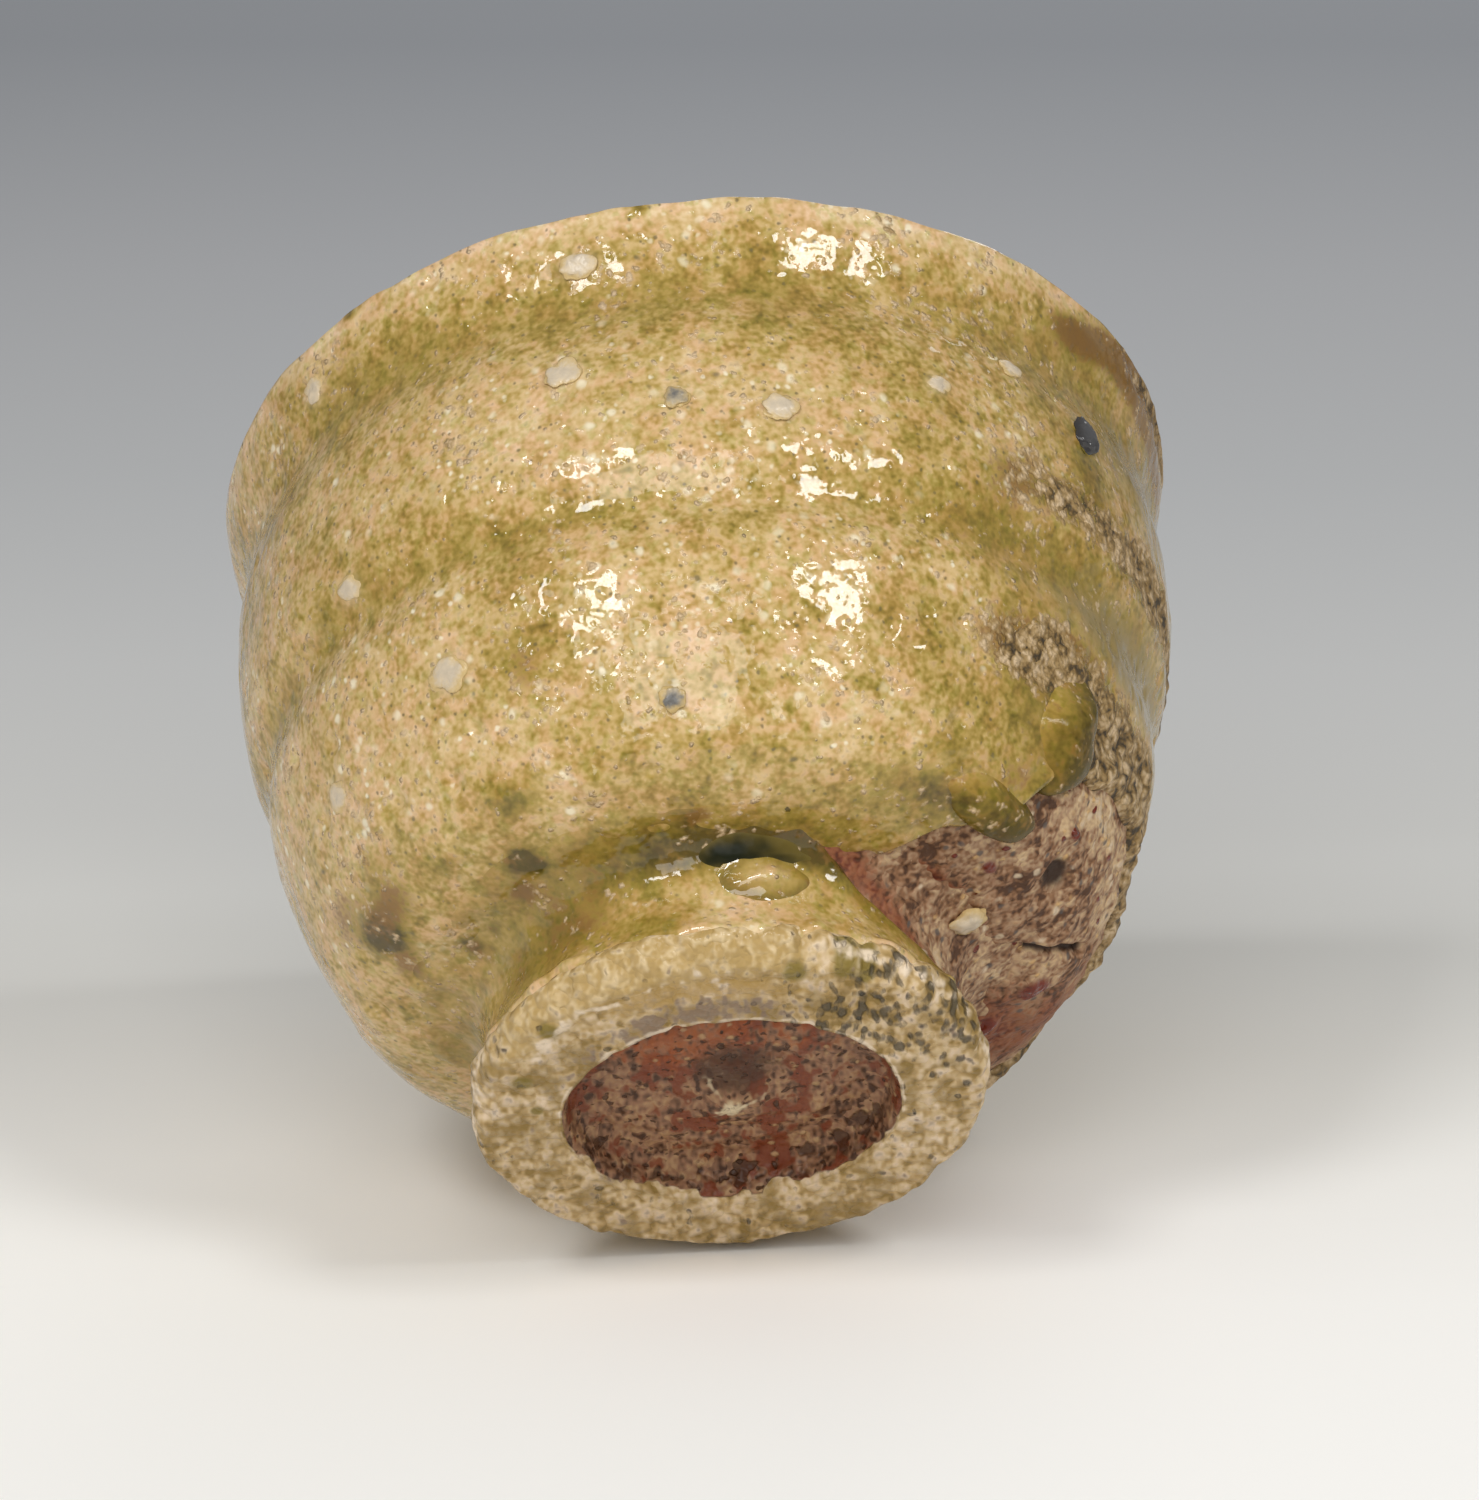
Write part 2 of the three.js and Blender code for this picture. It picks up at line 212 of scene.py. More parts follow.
def smooth_line(stations: Array, count: int) -> Array:
    """A smooth line through stations: cubic Hermite pieces over the chord length between them.

    Args:
        stations: Points with radius and height on the last axis.
        count: Points on the line.

    Returns:
        The line's points, evenly spaced in chord length.
    """
    chords = np.linalg.norm(np.diff(stations, axis=0), axis=1)
    knots = np.concatenate([[0.0], np.cumsum(chords)])
    slopes = np.gradient(stations, knots, axis=0)
    places = np.linspace(0.0, knots[-1], count)
    piece = np.clip(np.searchsorted(knots, places, side="right") - 1, 0, len(knots) - 2)
    width = (knots[piece + 1] - knots[piece])[:, None]
    t = (places - knots[piece])[:, None] / width
    start = (2 * t**3 - 3 * t**2 + 1) * stations[piece] + (t**3 - 2 * t**2 + t) * width * slopes[piece]
    end = (3 * t**2 - 2 * t**3) * stations[piece + 1] + (t**3 - t**2) * width * slopes[piece + 1]
    return start + end


@dataclass(frozen=True)
class Profile:
    """A line in the plane of radius and height, with its running length and its normals."""

    line: Array
    length: Array
    normal: Array

    @classmethod
    def through(cls, line: Array) -> "Profile":
        """Measures a dense line; its normals stand to the right of its direction.

        Args:
            line: Points with radius and height on the last axis.

        Returns:
            The measured line.
        """
        steps = np.linalg.norm(np.diff(line, axis=0), axis=1)
        length = np.concatenate([[0.0], np.cumsum(steps)])
        along = np.gradient(line, length, axis=0)
        along /= np.linalg.norm(along, axis=1)[:, None]
        return cls(line, length, np.stack([along[:, 1], -along[:, 0]], axis=1))

    @property
    def total(self) -> float:
        """Full length of the line."""
        return float(self.length[-1])

    def at(self, place: Amount) -> tuple[Array, Array, Array, Array]:
        """Reads the line by straight pieces between its points.

        Args:
            place: Places measured along the line.

        Returns:
            Radius, height and the two parts of the normal at each place.
        """
        columns = np.concatenate([self.line, self.normal], axis=1).T
        radius, height, out, up = (np.interp(place, self.length, column) for column in columns)
        return radius, height, out, up

    def place_at_height(self, height: Amount) -> Array:
        """Place along a line that climbs all the way, for each height."""
        return np.interp(height, self.line[:, 1], self.length)

    def sunk(self, depth: float) -> "Profile":
        """The same line moved against its normals by a depth."""
        return Profile.through(self.line - self.normal * depth)


# Meshes


@dataclass
class Surface:
    """A surface on a grid of rows and columns, whose columns close on themselves.

    The rows close too on a ring; otherwise a pole closes each end.
    """

    points: Array
    traits: dict[str, Array] = field(default_factory=dict)
    ring: bool = False

    def corners(self) -> tuple[Array, Array]:
        """Numbers the corners of the faces row by row, with the two poles last.

        Returns:
            Corner indices of the quads between rows, and of the fans at the poles.
        """
        rows, columns = self.points.shape[:2]
        index = np.arange(rows * columns).reshape(rows, columns)
        right = np.roll(index, -1, axis=1)
        next_row = [np.roll(side, -1, axis=0) for side in (right, index)]
        quads = np.stack([index, right, *next_row], axis=-1)
        if self.ring:
            return quads.reshape(-1, 4), np.empty((0, 3), dtype=int)
        first, last = np.full(columns, rows * columns), np.full(columns, rows * columns + 1)
        ends = ((first, right[0], index[0]), (last, index[-1], right[-1]))
        return quads[:-1].reshape(-1, 4), np.concatenate([np.stack(end, axis=-1) for end in ends])

    def with_poles(self, values: Array) -> Array:
        """Flattens values on the grid and adds the mean of the end rows for the two poles.

        Args:
            values: A value or a point for each place on the grid.

        Returns:
            The values or points in the order of the mesh.
        """
        flat = values.reshape((-1,) + values.shape[2:])
        if self.ring:
            return flat
        return np.concatenate([flat, values[0].mean(axis=0)[None], values[-1].mean(axis=0)[None]])

    def mesh(self, name: str) -> bpy.types.Mesh:
        """Writes the grid in metres as a smooth mesh whose faces point outwards.

        The sum of the triple products of each face's corners is six times the volume inside; where
        it is negative, the faces are turned round.

        Args:
            name: Name of the mesh.

        Returns:
            The mesh, with each trait as a point attribute.
        """
        places = self.with_poles(self.points) * MM
        quads, fans = self.corners()
        triangles = np.concatenate([quads[:, :3], quads[:, [0, 2, 3]], fans])
        a, b, c = (places[triangles[:, n]] for n in range(3))
        if np.einsum("ij,ij->", a, np.cross(b, c)) < 0:
            quads, fans = quads[:, ::-1], fans[:, ::-1]
        mesh = bpy.data.meshes.new(name)
        mesh.from_pydata(places.tolist(), [], quads.tolist() + fans.tolist())
        for trait, values in self.traits.items():
            layer = mesh.attributes.new(trait, "FLOAT", "POINT")
            layer.data.foreach_set("value", self.with_poles(values).astype(np.float32))
        mesh.polygons.foreach_set("use_smooth", np.ones(len(mesh.polygons), dtype=bool))
        mesh.update()
        return mesh


def add_piece(node: str, surface: Surface, slot: Slot, material: bpy.types.Material) -> bpy.types.Object:
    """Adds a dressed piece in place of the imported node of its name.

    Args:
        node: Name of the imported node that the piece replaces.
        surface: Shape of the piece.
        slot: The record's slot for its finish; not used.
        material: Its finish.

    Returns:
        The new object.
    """
    piece = bpy.data.objects.new(f"{node}_fired", surface.mesh(f"{node}_fired"))
    bpy.context.scene.collection.objects.link(piece)
    piece.data.materials.append(material)
    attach(piece, "root")
    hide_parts(node)
    LOG.info("%s: %d faces", piece.name, len(piece.data.polygons))
    return piece


# The cup's lines


@dataclass(frozen=True)
class CupShape:
    """The turned lines of the cup, in the sizes of the part's source."""

    height: float = 50.5
    lean: float = 1.27
    rim_radius: float = 32.0
    joint_radius: float = 16.0
    foot_height: float = 8.6
    wall_thickness: float = 3.6
    floor_thickness: float = 4.6
    lip_thickness: float = 2.6
    lip_round: float = 0.6
    lip_taper: float = 4.0
    coat: float = 0.6
    upper_groove: tuple[float, float, float] = (1.2, 3.4, 0.85)
    lower_groove: tuple[float, float, float] = (0.85, 2.2, 0.45)
    wall: Rows = (
        (0, 0), (0.019, 0.27), (0.058, 0.48), (0.118, 0.605), (0.203, 0.71), (0.287, 0.79),
        (0.45, 0.895), (0.58, 0.95), (0.72, 0.97), (0.85, 0.985), (1, 1),
    )
    scar_azimuth: float = -5.0
    scar_spread: tuple[float, float] = (28.0, 56.0)
    scar_rise: float = 9.5
    scar_start: float = 8.0
    scar_radius: float = 22.0
    dip_depth: float = 4.5
    groove_fade: float = 4.0
    wall_points: int = 1600
    inner_points: int = 1200
    lip_points: int = 60

    @property
    def lip_foot(self) -> float:
        """Height at which the lip starts to round."""
        return self.height - self.lip_round

    @property
    def lip_middle(self) -> float:
        """Radius of the top of the lip."""
        return self.rim_radius - self.lip_thickness / 2

    def height_of(self, rise: Amount) -> Amount:
        """Height on the wall for a share of the way from the joint to the lip."""
        return self.foot_height + rise * (self.lip_foot - self.foot_height)

    def grooves(self, height: Array) -> Array:
        """Depth of the two thrown grooves: a bell round each groove's height."""
        lines = (self.upper_groove, self.lower_groove)
        return sum(depth * bell(height, self.height_of(rise), width) for depth, width, rise in lines)

    def lip(self, reach: float) -> Array:
        """A quarter ellipse up to the top of the lip, from a reach to one side of its middle."""
        circle = round_points(np.linspace(0, 90, self.lip_points)[1:], 1.0)[:, :2]
        return circle * [reach, self.lip_round] + [self.lip_middle, self.lip_foot]

    def outer(self) -> Profile:
        """The outer line from the joint to the top of the lip: stations, grooves and a quarter ellipse.

        Returns:
            The line.
        """
        rise, share = np.array(self.wall, dtype=float).T
        widening = self.rim_radius - self.joint_radius
        stations = np.stack([self.joint_radius + widening * share, self.height_of(rise)], axis=1)
        wall = smooth_line(stations, self.wall_points)
        faded = ease(wall[:, 1], self.foot_height, self.foot_height + self.groove_fade)
        wall[:, 0] -= self.grooves(wall[:, 1]) * faded
        return Profile.through(np.concatenate([wall, self.lip(self.rim_radius - self.lip_middle)]))

    def inner(self) -> Profile:
        """The inner line from the middle of the floor to the top of the lip.

        Its radius is the outer one less the wall, thinned towards the lip, times a power curve that
        closes it at the floor.

        Returns:
            The line.
        """
        outer = self.outer()
        share = np.linspace(0, 1, self.inner_points) ** 2
        floor = self.foot_height + self.floor_thickness
        height = floor + share * (self.lip_foot - floor)
        radius = np.interp(height, outer.line[:, 1], outer.line[:, 0])
        thinned = np.exp((height - self.lip_foot) / self.lip_taper)
        radius = radius - self.wall_thickness + (self.wall_thickness - self.lip_thickness) * thinned
        radius *= (1 - (1 - share) ** 4) ** 0.4
        wall = np.stack([radius, height], axis=1)
        return Profile.through(np.concatenate([wall, self.lip(radius[-1] - self.lip_middle)]))

    def scar_bump(self, azimuth: Array) -> Array:
        """A bell over the scar, wider on the side that the photograph does not show."""
        away = turn(azimuth, self.scar_azimuth)
        return np.where(away < 0, bell(away, 0, self.scar_spread[0]), bell(away, 0, self.scar_spread[1]))

    def scar_edge(self, azimuth: Array) -> Array:
        """Height of the glaze's lower edge: the scar's bell, ragged by two waves of noise.

        Args:
            azimuth: Azimuths in degrees.

        Returns:
            The height at each azimuth.
        """
        circle, bump = round_points(azimuth, self.scar_radius), self.scar_bump(azimuth)
        tail = 0.45 * bell(turn(azimuth, self.scar_azimuth), -50, 12)
        ragged = 1.3 * lumps(circle, 4.5, 11) + 0.8 * lumps(circle, 1.7, 12)
        return self.scar_start + self.scar_rise * bump + tail + ragged * np.minimum(1, 4 * bump)

    def lip_dip(self, azimuth: Amount) -> Array:
        """How far the uneven lip dips below the cup's height, by two waves of noise round it."""
        circle = round_points(azimuth, self.rim_radius)
        return np.maximum(0, 0.2 + 0.22 * lumps(circle, 6.0, 13) + 0.12 * lumps(circle, 2.1, 14))

    def place(self, azimuth: Amount, radius: Amount, height: Amount) -> Array:
        """Points on the cup, whose axis leans to -X at the foot and whose lip dips.

        The lean moves x by the share of the cup's height that is missing, and the dip grows by an
        ease over the last few millimetres.

        Args:
            azimuth: Azimuths in degrees.
            radius: Distances from the axis.
            height: Heights.

        Returns:
            The points.
        """
        around = np.radians(azimuth)
        x = radius * np.cos(around) + self.lean * (height / self.height - 1)
        dipped = height - self.lip_dip(azimuth) * ease(height, self.height - self.dip_depth, self.height)
        return np.stack(np.broadcast_arrays(x, radius * np.sin(around), dipped), axis=-1)


@dataclass(frozen=True)
class Patch:
    """A soft oval mark on the wall, by azimuth and height, with its half sizes in millimetres."""

    azimuth: float
    height: float
    half_width: float
    half_height: float
    strength: float = 1.0

    def spread(self, azimuth: Array, place: Array, radius: Array, line: Profile) -> Array:
        """A bell in the distance along the wall, squashed to the patch's half sizes.

        Args:
            azimuth: Azimuths in degrees.
            place: Places along the line.
            radius: Radii.
            line: The turned line.

        Returns:
            The patch's strength at each point.
        """
        across = np.radians(turn(azimuth, self.azimuth)) * radius / self.half_width
        along = (place - line.place_at_height(self.height)) / self.half_height
        return self.strength * np.exp(-(across**2) - along**2)


def marks(*rows: tuple[float, ...]) -> tuple[Patch, ...]:
    """Patches from rows of azimuth, height, half sizes and, where it is not 1, strength."""
    return tuple(Patch(*row) for row in rows)


def spread_all(patches: tuple[Patch, ...], *grid: Array | Profile) -> Array:
    """Adds up the spread of each patch over azimuths, places, radii and their line."""
    return np.sum([patch.spread(*grid) for patch in patches], axis=0)


def glaze_traits(olive: Array, rust: Array, pale: Array) -> dict[str, Array]:
    """Traits of a coat that has no crust, veil or stones."""
    none = np.zeros_like(olive)
    return {"olive": olive, "crust": none, "rust": rust, "pale": pale, "veil": none, "stone": none}


def carried(traits: dict[str, Array], edge: int, count: int, axis: int = 0) -> dict[str, Array]:
    """Carries the traits at the edge of a coat's face on over its back.

    Args:
        traits: Values on the grid of the face.
        edge: Number of the row or column at the edge.
        count: Rows or columns of the back.
        axis: 0 for rows, 1 for columns.

    Returns:
        Values on the grid of the face and the back.
    """
    longer = {}
    for name, values in traits.items():
        back = np.repeat(np.take(values, [edge], axis), count, axis)
        longer[name] = np.concatenate([values, back], axis)
    return longer


# Finishes


class Wire:
    """A value in a material's node tree that takes part in Python sums."""

    def __init__(self, graph: "Graph", socket: bpy.types.NodeSocket) -> None:
        """Keeps the tree's builder and the output socket."""
        self.graph = graph
        self.socket = socket

    def __add__(self, other: Feed) -> "Wire":
        """Sum of two values."""
        return self.graph.math("ADD", self, other)

    __radd__ = __add__

    def __sub__(self, other: Feed) -> "Wire":
        """This value less another."""
        return self.graph.math("SUBTRACT", self, other)

    def __rsub__(self, other: Feed) -> "Wire":
        """A number less this value."""
        return self.graph.math("SUBTRACT", other, self)

    def __mul__(self, other: Feed) -> "Wire":
        """Product of two values."""
        return self.graph.math("MULTIPLY", self, other)

    __rmul__ = __mul__

    def twin(self, output: int) -> "Wire":
        """Another output of the same node."""
        return Wire(self.graph, self.socket.node.outputs[output])


class Graph:
    """Builds one material's node tree."""

    def __init__(self, name: str) -> None:
        """Starts an empty material and its object coordinates.

        Args:
            name: Name of the material.
        """
        self.material = bpy.data.materials.new(name)
        self.material.use_nodes = True
        self.tree = self.material.node_tree
        self.tree.nodes.clear()
        self.spot = self.node("TexCoord", output=3)

    def node(
        self,
        kind: str,
        settings: dict[str, object] | None = None,
        sockets: dict[str | int, Feed] | None = None,
        output: int = 0,
    ) -> Wire:
        """Adds a node.

        Args:
            kind: The node's type, without the common start of its name.
            settings: Its settings, set first; stops are the places and colours of a ramp.
            sockets: Values or wires for its inputs, by name or number.
            output: Number of the output to hand back.

        Returns:
            That output.
        """
        node = self.tree.nodes.new(f"ShaderNode{kind}")
        for key, value in (settings or {}).items():
            if key == "stops":
                ramp = node.color_ramp.elements
                for _ in range(len(value) - len(ramp)):
                    ramp.new(1.0)
                for element, (place, colour) in zip(ramp, value):
                    element.position, element.color = place, (*colour, 1.0)
            else:
                setattr(node, key, value)
        for key, value in (sockets or {}).items():
            socket = node.inputs[key]
            if isinstance(value, Wire):
                self.tree.links.new(value.socket, socket)
            elif socket.type == "RGBA":
                socket.default_value = (*value, 1.0)
            else:
                socket.default_value = value
        return Wire(self, node.outputs[output] if node.outputs else None)

    def math(self, operation: str, first: Feed, second: Feed) -> Wire:
        """One Math node."""
        return self.node("Math", {"operation": operation}, {0: first, 1: second})

    def ease(self, value: Wire, low: float, high: float) -> Wire:
        """Rises smoothly from 0 at low to 1 at high."""
        sockets = {"Value": value, "From Min": low, "From Max": high}
        return self.node("MapRange", {"interpolation_type": "SMOOTHSTEP"}, sockets)

    def blend(self, first: Feed, second: Feed, share: Feed, kind: str = "MIX") -> Wire:
        """Mixes two colours by a share that is kept between 0 and 1."""
        settings = {"data_type": "RGBA", "blend_type": kind, "clamp_factor": True}
        return self.node("Mix", settings, {0: share, 6: first, 7: second}, 2)

    def layers(self, colour: Wire, *coats: tuple[Feed, Feed]) -> Wire:
        """Lays colours over a first one.

        Args:
            colour: The first colour.
            coats: Each next colour, with its share.

        Returns:
            The colour on top.
        """
        for coat, share in coats:
            colour = self.blend(colour, coat, share)
        return colour

    def tint(self, colour: Wire, cast: Colour, share: Feed) -> Wire:
        """Multiplies a colour by a cast, as far as the share says."""
        return self.blend(colour, cast, share, "MULTIPLY")

    def ramp(self, value: Wire, places: tuple[float, ...], colours: tuple[Colour, ...]) -> Wire:
        """A colour read off a row of stops by a value from 0 to 1."""
        return self.node("ValToRGB", {"stops": tuple(zip(places, colours))}, {0: value})

    def trait(self, name: str) -> Wire:
        """A point attribute of the mesh."""
        return self.node("Attribute", {"attribute_name": name}, output=2)

    def cell_spot(self, cell: float, seed: int, stretch: float = 1.0) -> Wire:
        """Object coordinates counted in cells.

        Args:
            cell: Width of a cell in millimetres.
            seed: Moves the cells, to pick a field.
            stretch: How many times longer a cell is along Y.

        Returns:
            The coordinates.
        """
        scale = 1 / (MM * cell)
        moved = (seed * 7.31, seed * 3.17, seed * 5.53)
        sockets = {0: self.spot, 1: (scale, scale / stretch, scale), 2: moved}
        return self.node("VectorMath", {"operation": "MULTIPLY_ADD"}, sockets)

    def noise(self, cell: float, seed: int, detail: float = 2.0, stretch: float = 1.0) -> Wire:
        """Smooth noise from 0 to 1 about 0.5, with cells of a width in millimetres."""
        sockets = {"Vector": self.cell_spot(cell, seed, stretch), "Scale": 1.0, "Detail": detail}
        return self.node("TexNoise", None, sockets | {"Roughness": 0.55})

    def grains(self, cell: float, seed: int, wobble: float = 0.35) -> tuple[Wire, Wire]:
        """Scattered centres, one per cell.

        Args:
            cell: Width of a cell in millimetres.
            seed: Picks the field.
            wobble: How far noise bends the distances, in cells.

        Returns:
            The distance to the nearest centre in cells, and that centre's chance value.
        """
        finer = self.cell_spot(cell * 0.6, seed + 5)
        bent = self.node("TexNoise", None, {"Vector": finer, "Scale": 1.0, "Detail": 1.0}, 1)
        sockets = {0: bent, 1: (wobble,) * 3, 2: self.cell_spot(cell, seed)}
        push = self.node("VectorMath", {"operation": "MULTIPLY_ADD"}, sockets)
        distance = self.node("TexVoronoi", None, {"Vector": push, "Scale": 1.0})
        chance = self.node("SeparateColor", None, {0: distance.twin(1)})
        return distance, chance

    def specks(self, cell: float, seed: int, share: float, small: float, large: float) -> Wire:
        """A mask of soft specks: some of the scattered centres, each with its own radius.

        Args:
            cell: Width of a cell in millimetres.
            seed: Picks the field.
            share: Share of the centres that show.
            small: Radius in cells at which a speck is still full.
            large: Radius in cells at which it has faded.

        Returns:
            The mask.
        """
        distance, chance = self.grains(cell, seed)
        shown = self.ease(chance, 1 - share, 1 - share * 0.6)
        return (1 - self.ease(distance, small, large)) * shown

    def close(self, colour: Wire, rough: Feed, height: Wire, sheen: float) -> bpy.types.Material:
        """Ends the tree with one shader.

        Args:
            colour: Its colour.
            rough: Its roughness.
            height: Its relief in millimetres, which bends the normal.
            sheen: How strongly it mirrors; plain glass has 0.5.

        Returns:
            The material.
        """
        normal = self.node("Bump", None, {"Strength": 1.0, "Distance": MM, "Height": height})
        sockets = {"Base Color": colour, "Roughness": rough, "Specular IOR Level": sheen, "Normal": normal}
        shader = self.node("BsdfPrincipled", None, sockets)
        self.node("OutputMaterial", None, {"Surface": shader})
        return self.material


@dataclass(frozen=True)
class AshGlaze:
    """Wet ash glaze: pinkish beige and tan, olive where it pools, gritty ash crust, fine specks."""

    name: str
    deep: Colour = (0.095, 0.066, 0.011)
    moss: Colour = (0.20, 0.14, 0.024)
    olive: Colour = (0.315, 0.218, 0.042)
    tan: Colour = (0.435, 0.298, 0.082)
    beige: Colour = (0.56, 0.39, 0.155)
    blush: Colour = (0.655, 0.465, 0.225)
    pale: Colour = (0.78, 0.60, 0.36)
    pink_cast: Colour = (1.04, 0.95, 1.02)
    green_cast: Colour = (0.84, 0.90, 0.72)
    rust: Colour = (0.22, 0.11, 0.026)
    veil: Colour = (0.30, 0.22, 0.078)
    crust_gap: Colour = (0.05, 0.032, 0.012)
    crust_brown: Colour = (0.21, 0.125, 0.036)
    crust_tan: Colour = (0.36, 0.235, 0.095)
    crust_pale: Colour = (0.60, 0.44, 0.26)
    speck_pale: Colour = (0.86, 0.77, 0.56)
    speck_dark: Colour = (0.12, 0.10, 0.05)
    stone: Colour = (0.64, 0.53, 0.37)
    gloss: float = 0.06
    stir: float = 1.0
    sheen: float = 0.5

    def material(self) -> bpy.types.Material:
        """Builds the finish: one level from the mesh's traits and noise picks the colour off a ramp.

        Returns:
            The material.
        """
        g = Graph(self.name)
        names = ("olive", "crust", "rust", "pale", "veil", "stone")
        olive, crust, rust, pale, veil, stone = map(g.trait, names)
        broad, middle, fine = g.noise(5.0, 1, 2.0), g.noise(1.3, 2, 2.0), g.noise(0.40, 3, 0.6)
        calm = (1 - veil * 0.7) * (1 - g.ease(olive, 0.2, 0.9) * 0.4) * self.stir
        mottle = (broad * 0.5 + middle * 0.8 + fine * 0.62 - 0.97) * calm
        body = (self.deep, self.moss, self.olive, self.tan, self.beige, self.blush, self.pale)
        level = mottle + pale * 0.25 - olive * 0.3 + 0.58
        colour = g.ramp(level, (0.0, 0.16, 0.32, 0.45, 0.58, 0.72, 0.95), body)
        colour = g.tint(colour, self.pink_cast, g.ease(g.noise(1.7, 4), 0.44, 0.62))
        colour = g.tint(colour, self.green_cast, g.ease(g.noise(0.8, 5), 0.5, 0.66))
        colour = g.blend(colour, self.veil, g.ease(veil + mottle * 0.4, 0.2, 0.9) * 0.85)
        colour = g.blend(colour, self.rust, g.ease(rust + middle * 1.6 + fine * 1.4, 1.7, 2.6) * 0.85)
        pits, pit_chance = g.grains(1.9, 41, 0.45)
        pins, pin_chance = g.grains(0.8, 42, 0.2)
        hollows = (1 - g.ease(pits, 0.10, 0.36)) * g.ease(pit_chance, 0.25, 0.4)
        pinholes = (1 - g.ease(pins, 0.06, 0.34)) * g.ease(pin_chance, 0.62, 0.7)
        colour = g.tint(colour, self.green_cast, hollows * 0.5 + pinholes * 0.5)
        dark = g.specks(0.7, 21, 0.6, 0.06, 0.28) + g.specks(2.4, 22, 0.4, 0.03, 0.15)
        colour = g.blend(colour, self.speck_dark, dark * calm * 0.7)
        white = g.specks(1.5, 23, 0.6, 0.10, 0.32) + g.specks(0.8, 24, 0.45, 0.08, 0.32)
        white = white * calm * g.ease(broad - olive * 0.3, 0.36, 0.58)
        colour = g.blend(colour, self.speck_pale, white * 0.85)
        colour = g.blend(colour, self.stone, stone)
        coarse, kind = g.grains(0.95, 31, 0.6)
        small, _ = g.grains(0.42, 32, 0.4)
        ash_height = 0.62 - coarse * 0.65 - small * 0.4 + (fine + middle - 1) * 0.4
        kinds = (self.crust_gap, self.crust_brown, self.crust_tan, self.crust_pale)
        ash = g.ramp(ash_height + kind * 0.3 + 0.30, (0.25, 0.42, 0.60, 0.86), kinds)
        cover = g.ease(crust + ash_height + broad - 0.5, 0.25, 0.55)
        colour = g.blend(colour, ash, cover)
        swell = g.noise(1.9, 43, 1.0) * 0.15 + g.noise(0.75, 44, 1.0) * 0.045
        holes = (hollows * 0.07 + pinholes * 0.03) * self.stir
        height = (swell - holes) * (1 - cover) + ash_height * 0.45 * cover
        return g.close(colour, cover * 0.5 + self.gloss + fine * 0.03, height, self.sheen)


@dataclass(frozen=True)
class ScarClay:
    """Bare gritty clay of the scar: mauve brown grains, rust, ash dust and small red glass beads."""

    name: str
    gap: Colour = (0.085, 0.038, 0.018)
    brown: Colour = (0.25, 0.125, 0.060)
    mauve: Colour = (0.40, 0.255, 0.150)
    tan: Colour = (0.58, 0.405, 0.225)
    fleck: Colour = (0.66, 0.41, 0.17)
    ash: Colour = (0.66, 0.52, 0.36)
    rust: Colour = (0.25, 0.082, 0.034)
    char: Colour = (0.10, 0.088, 0.080)
    bead: Colour = (0.15, 0.025, 0.012)
    crack_shade: Colour = (0.045, 0.024, 0.014)

    def paint(
        self, g: Graph, ash: Feed, bead: Feed, rust: Feed, crack: Feed = 0.0
    ) -> tuple[Wire, Wire, Wire]:
        """Colour, height in millimetres and glassiness, by rounded grains of two sizes.

        Args:
            g: The material's tree.
            ash: How much ash dust lies on the clay.
            bead: Where a glass bead stands.
            rust: Where the clay is rusty.
            crack: Where it is split or pitted; painted dark there as shade.

        Returns:
            The three values.
        """
        coarse, kind = g.grains(0.6, 51, 0.35)
        middle, broad = g.noise(0.9, 52, 1.0), g.noise(3.2, 53, 2.0)
        fine = g.noise(0.32, 54, 0.0)
        gold = g.ease(broad + ash * 0.3 - rust * 0.4, 0.46, 0.62)
        shade = kind * 0.2 + fine * 0.5 + middle * 0.8 + broad * 1.1 - coarse * 0.2 + ash * 0.42 - 0.90
        kinds = (self.gap, self.brown, self.mauve, self.tan, self.ash)
        colour = g.ramp(shade, (0.06, 0.24, 0.42, 0.62, 0.90), kinds)
        brick = g.blend(self.bead, self.rust, g.ease(fine * 0.9 + middle * 0.6 - coarse * 0.15, 0.45, 0.80))
        rusty = g.ease(rust + middle * 0.8 + fine * 0.8 - coarse * 0.2, 0.85, 1.5)
        flecks = g.specks(0.9, 58, 0.7, 0.12, 0.36) * gold
        red = g.specks(1.2, 57, 0.5, 0.14, 0.34) * gold
        glassy = g.ease(bead + red, 0.3, 0.8)
        colour = g.layers(
            colour,
            (brick, rusty * 0.88),
            (self.fleck, flecks * 0.85),
            (self.char, g.specks(1.05, 55, 0.6, 0.12, 0.30) * 0.8),
            (self.ash, g.specks(1.3, 56, 0.4, 0.10, 0.30) * 0.9),
            (self.bead, glassy),
            # The crack and the pit are painted near black: painted shade inside them.
            (self.crack_shade, g.ease(crack, 0.3, 0.8)),
        )
        return colour, middle * 0.3 - coarse * 0.12 + fine * 0.06 + flecks * 0.1 + red * 0.15, glassy

    def material(self) -> bpy.types.Material:
        """Builds the finish from the mesh's ash, bead, rust and crack traits.

        Returns:
            The material.
        """
        g = Graph(self.name)
        colour, height, glassy = self.paint(g, *map(g.trait, ("ash", "bead", "rust", "crack")))
        return g.close(colour, 0.6 - glassy * 0.5, height, CLAY_SHEEN)


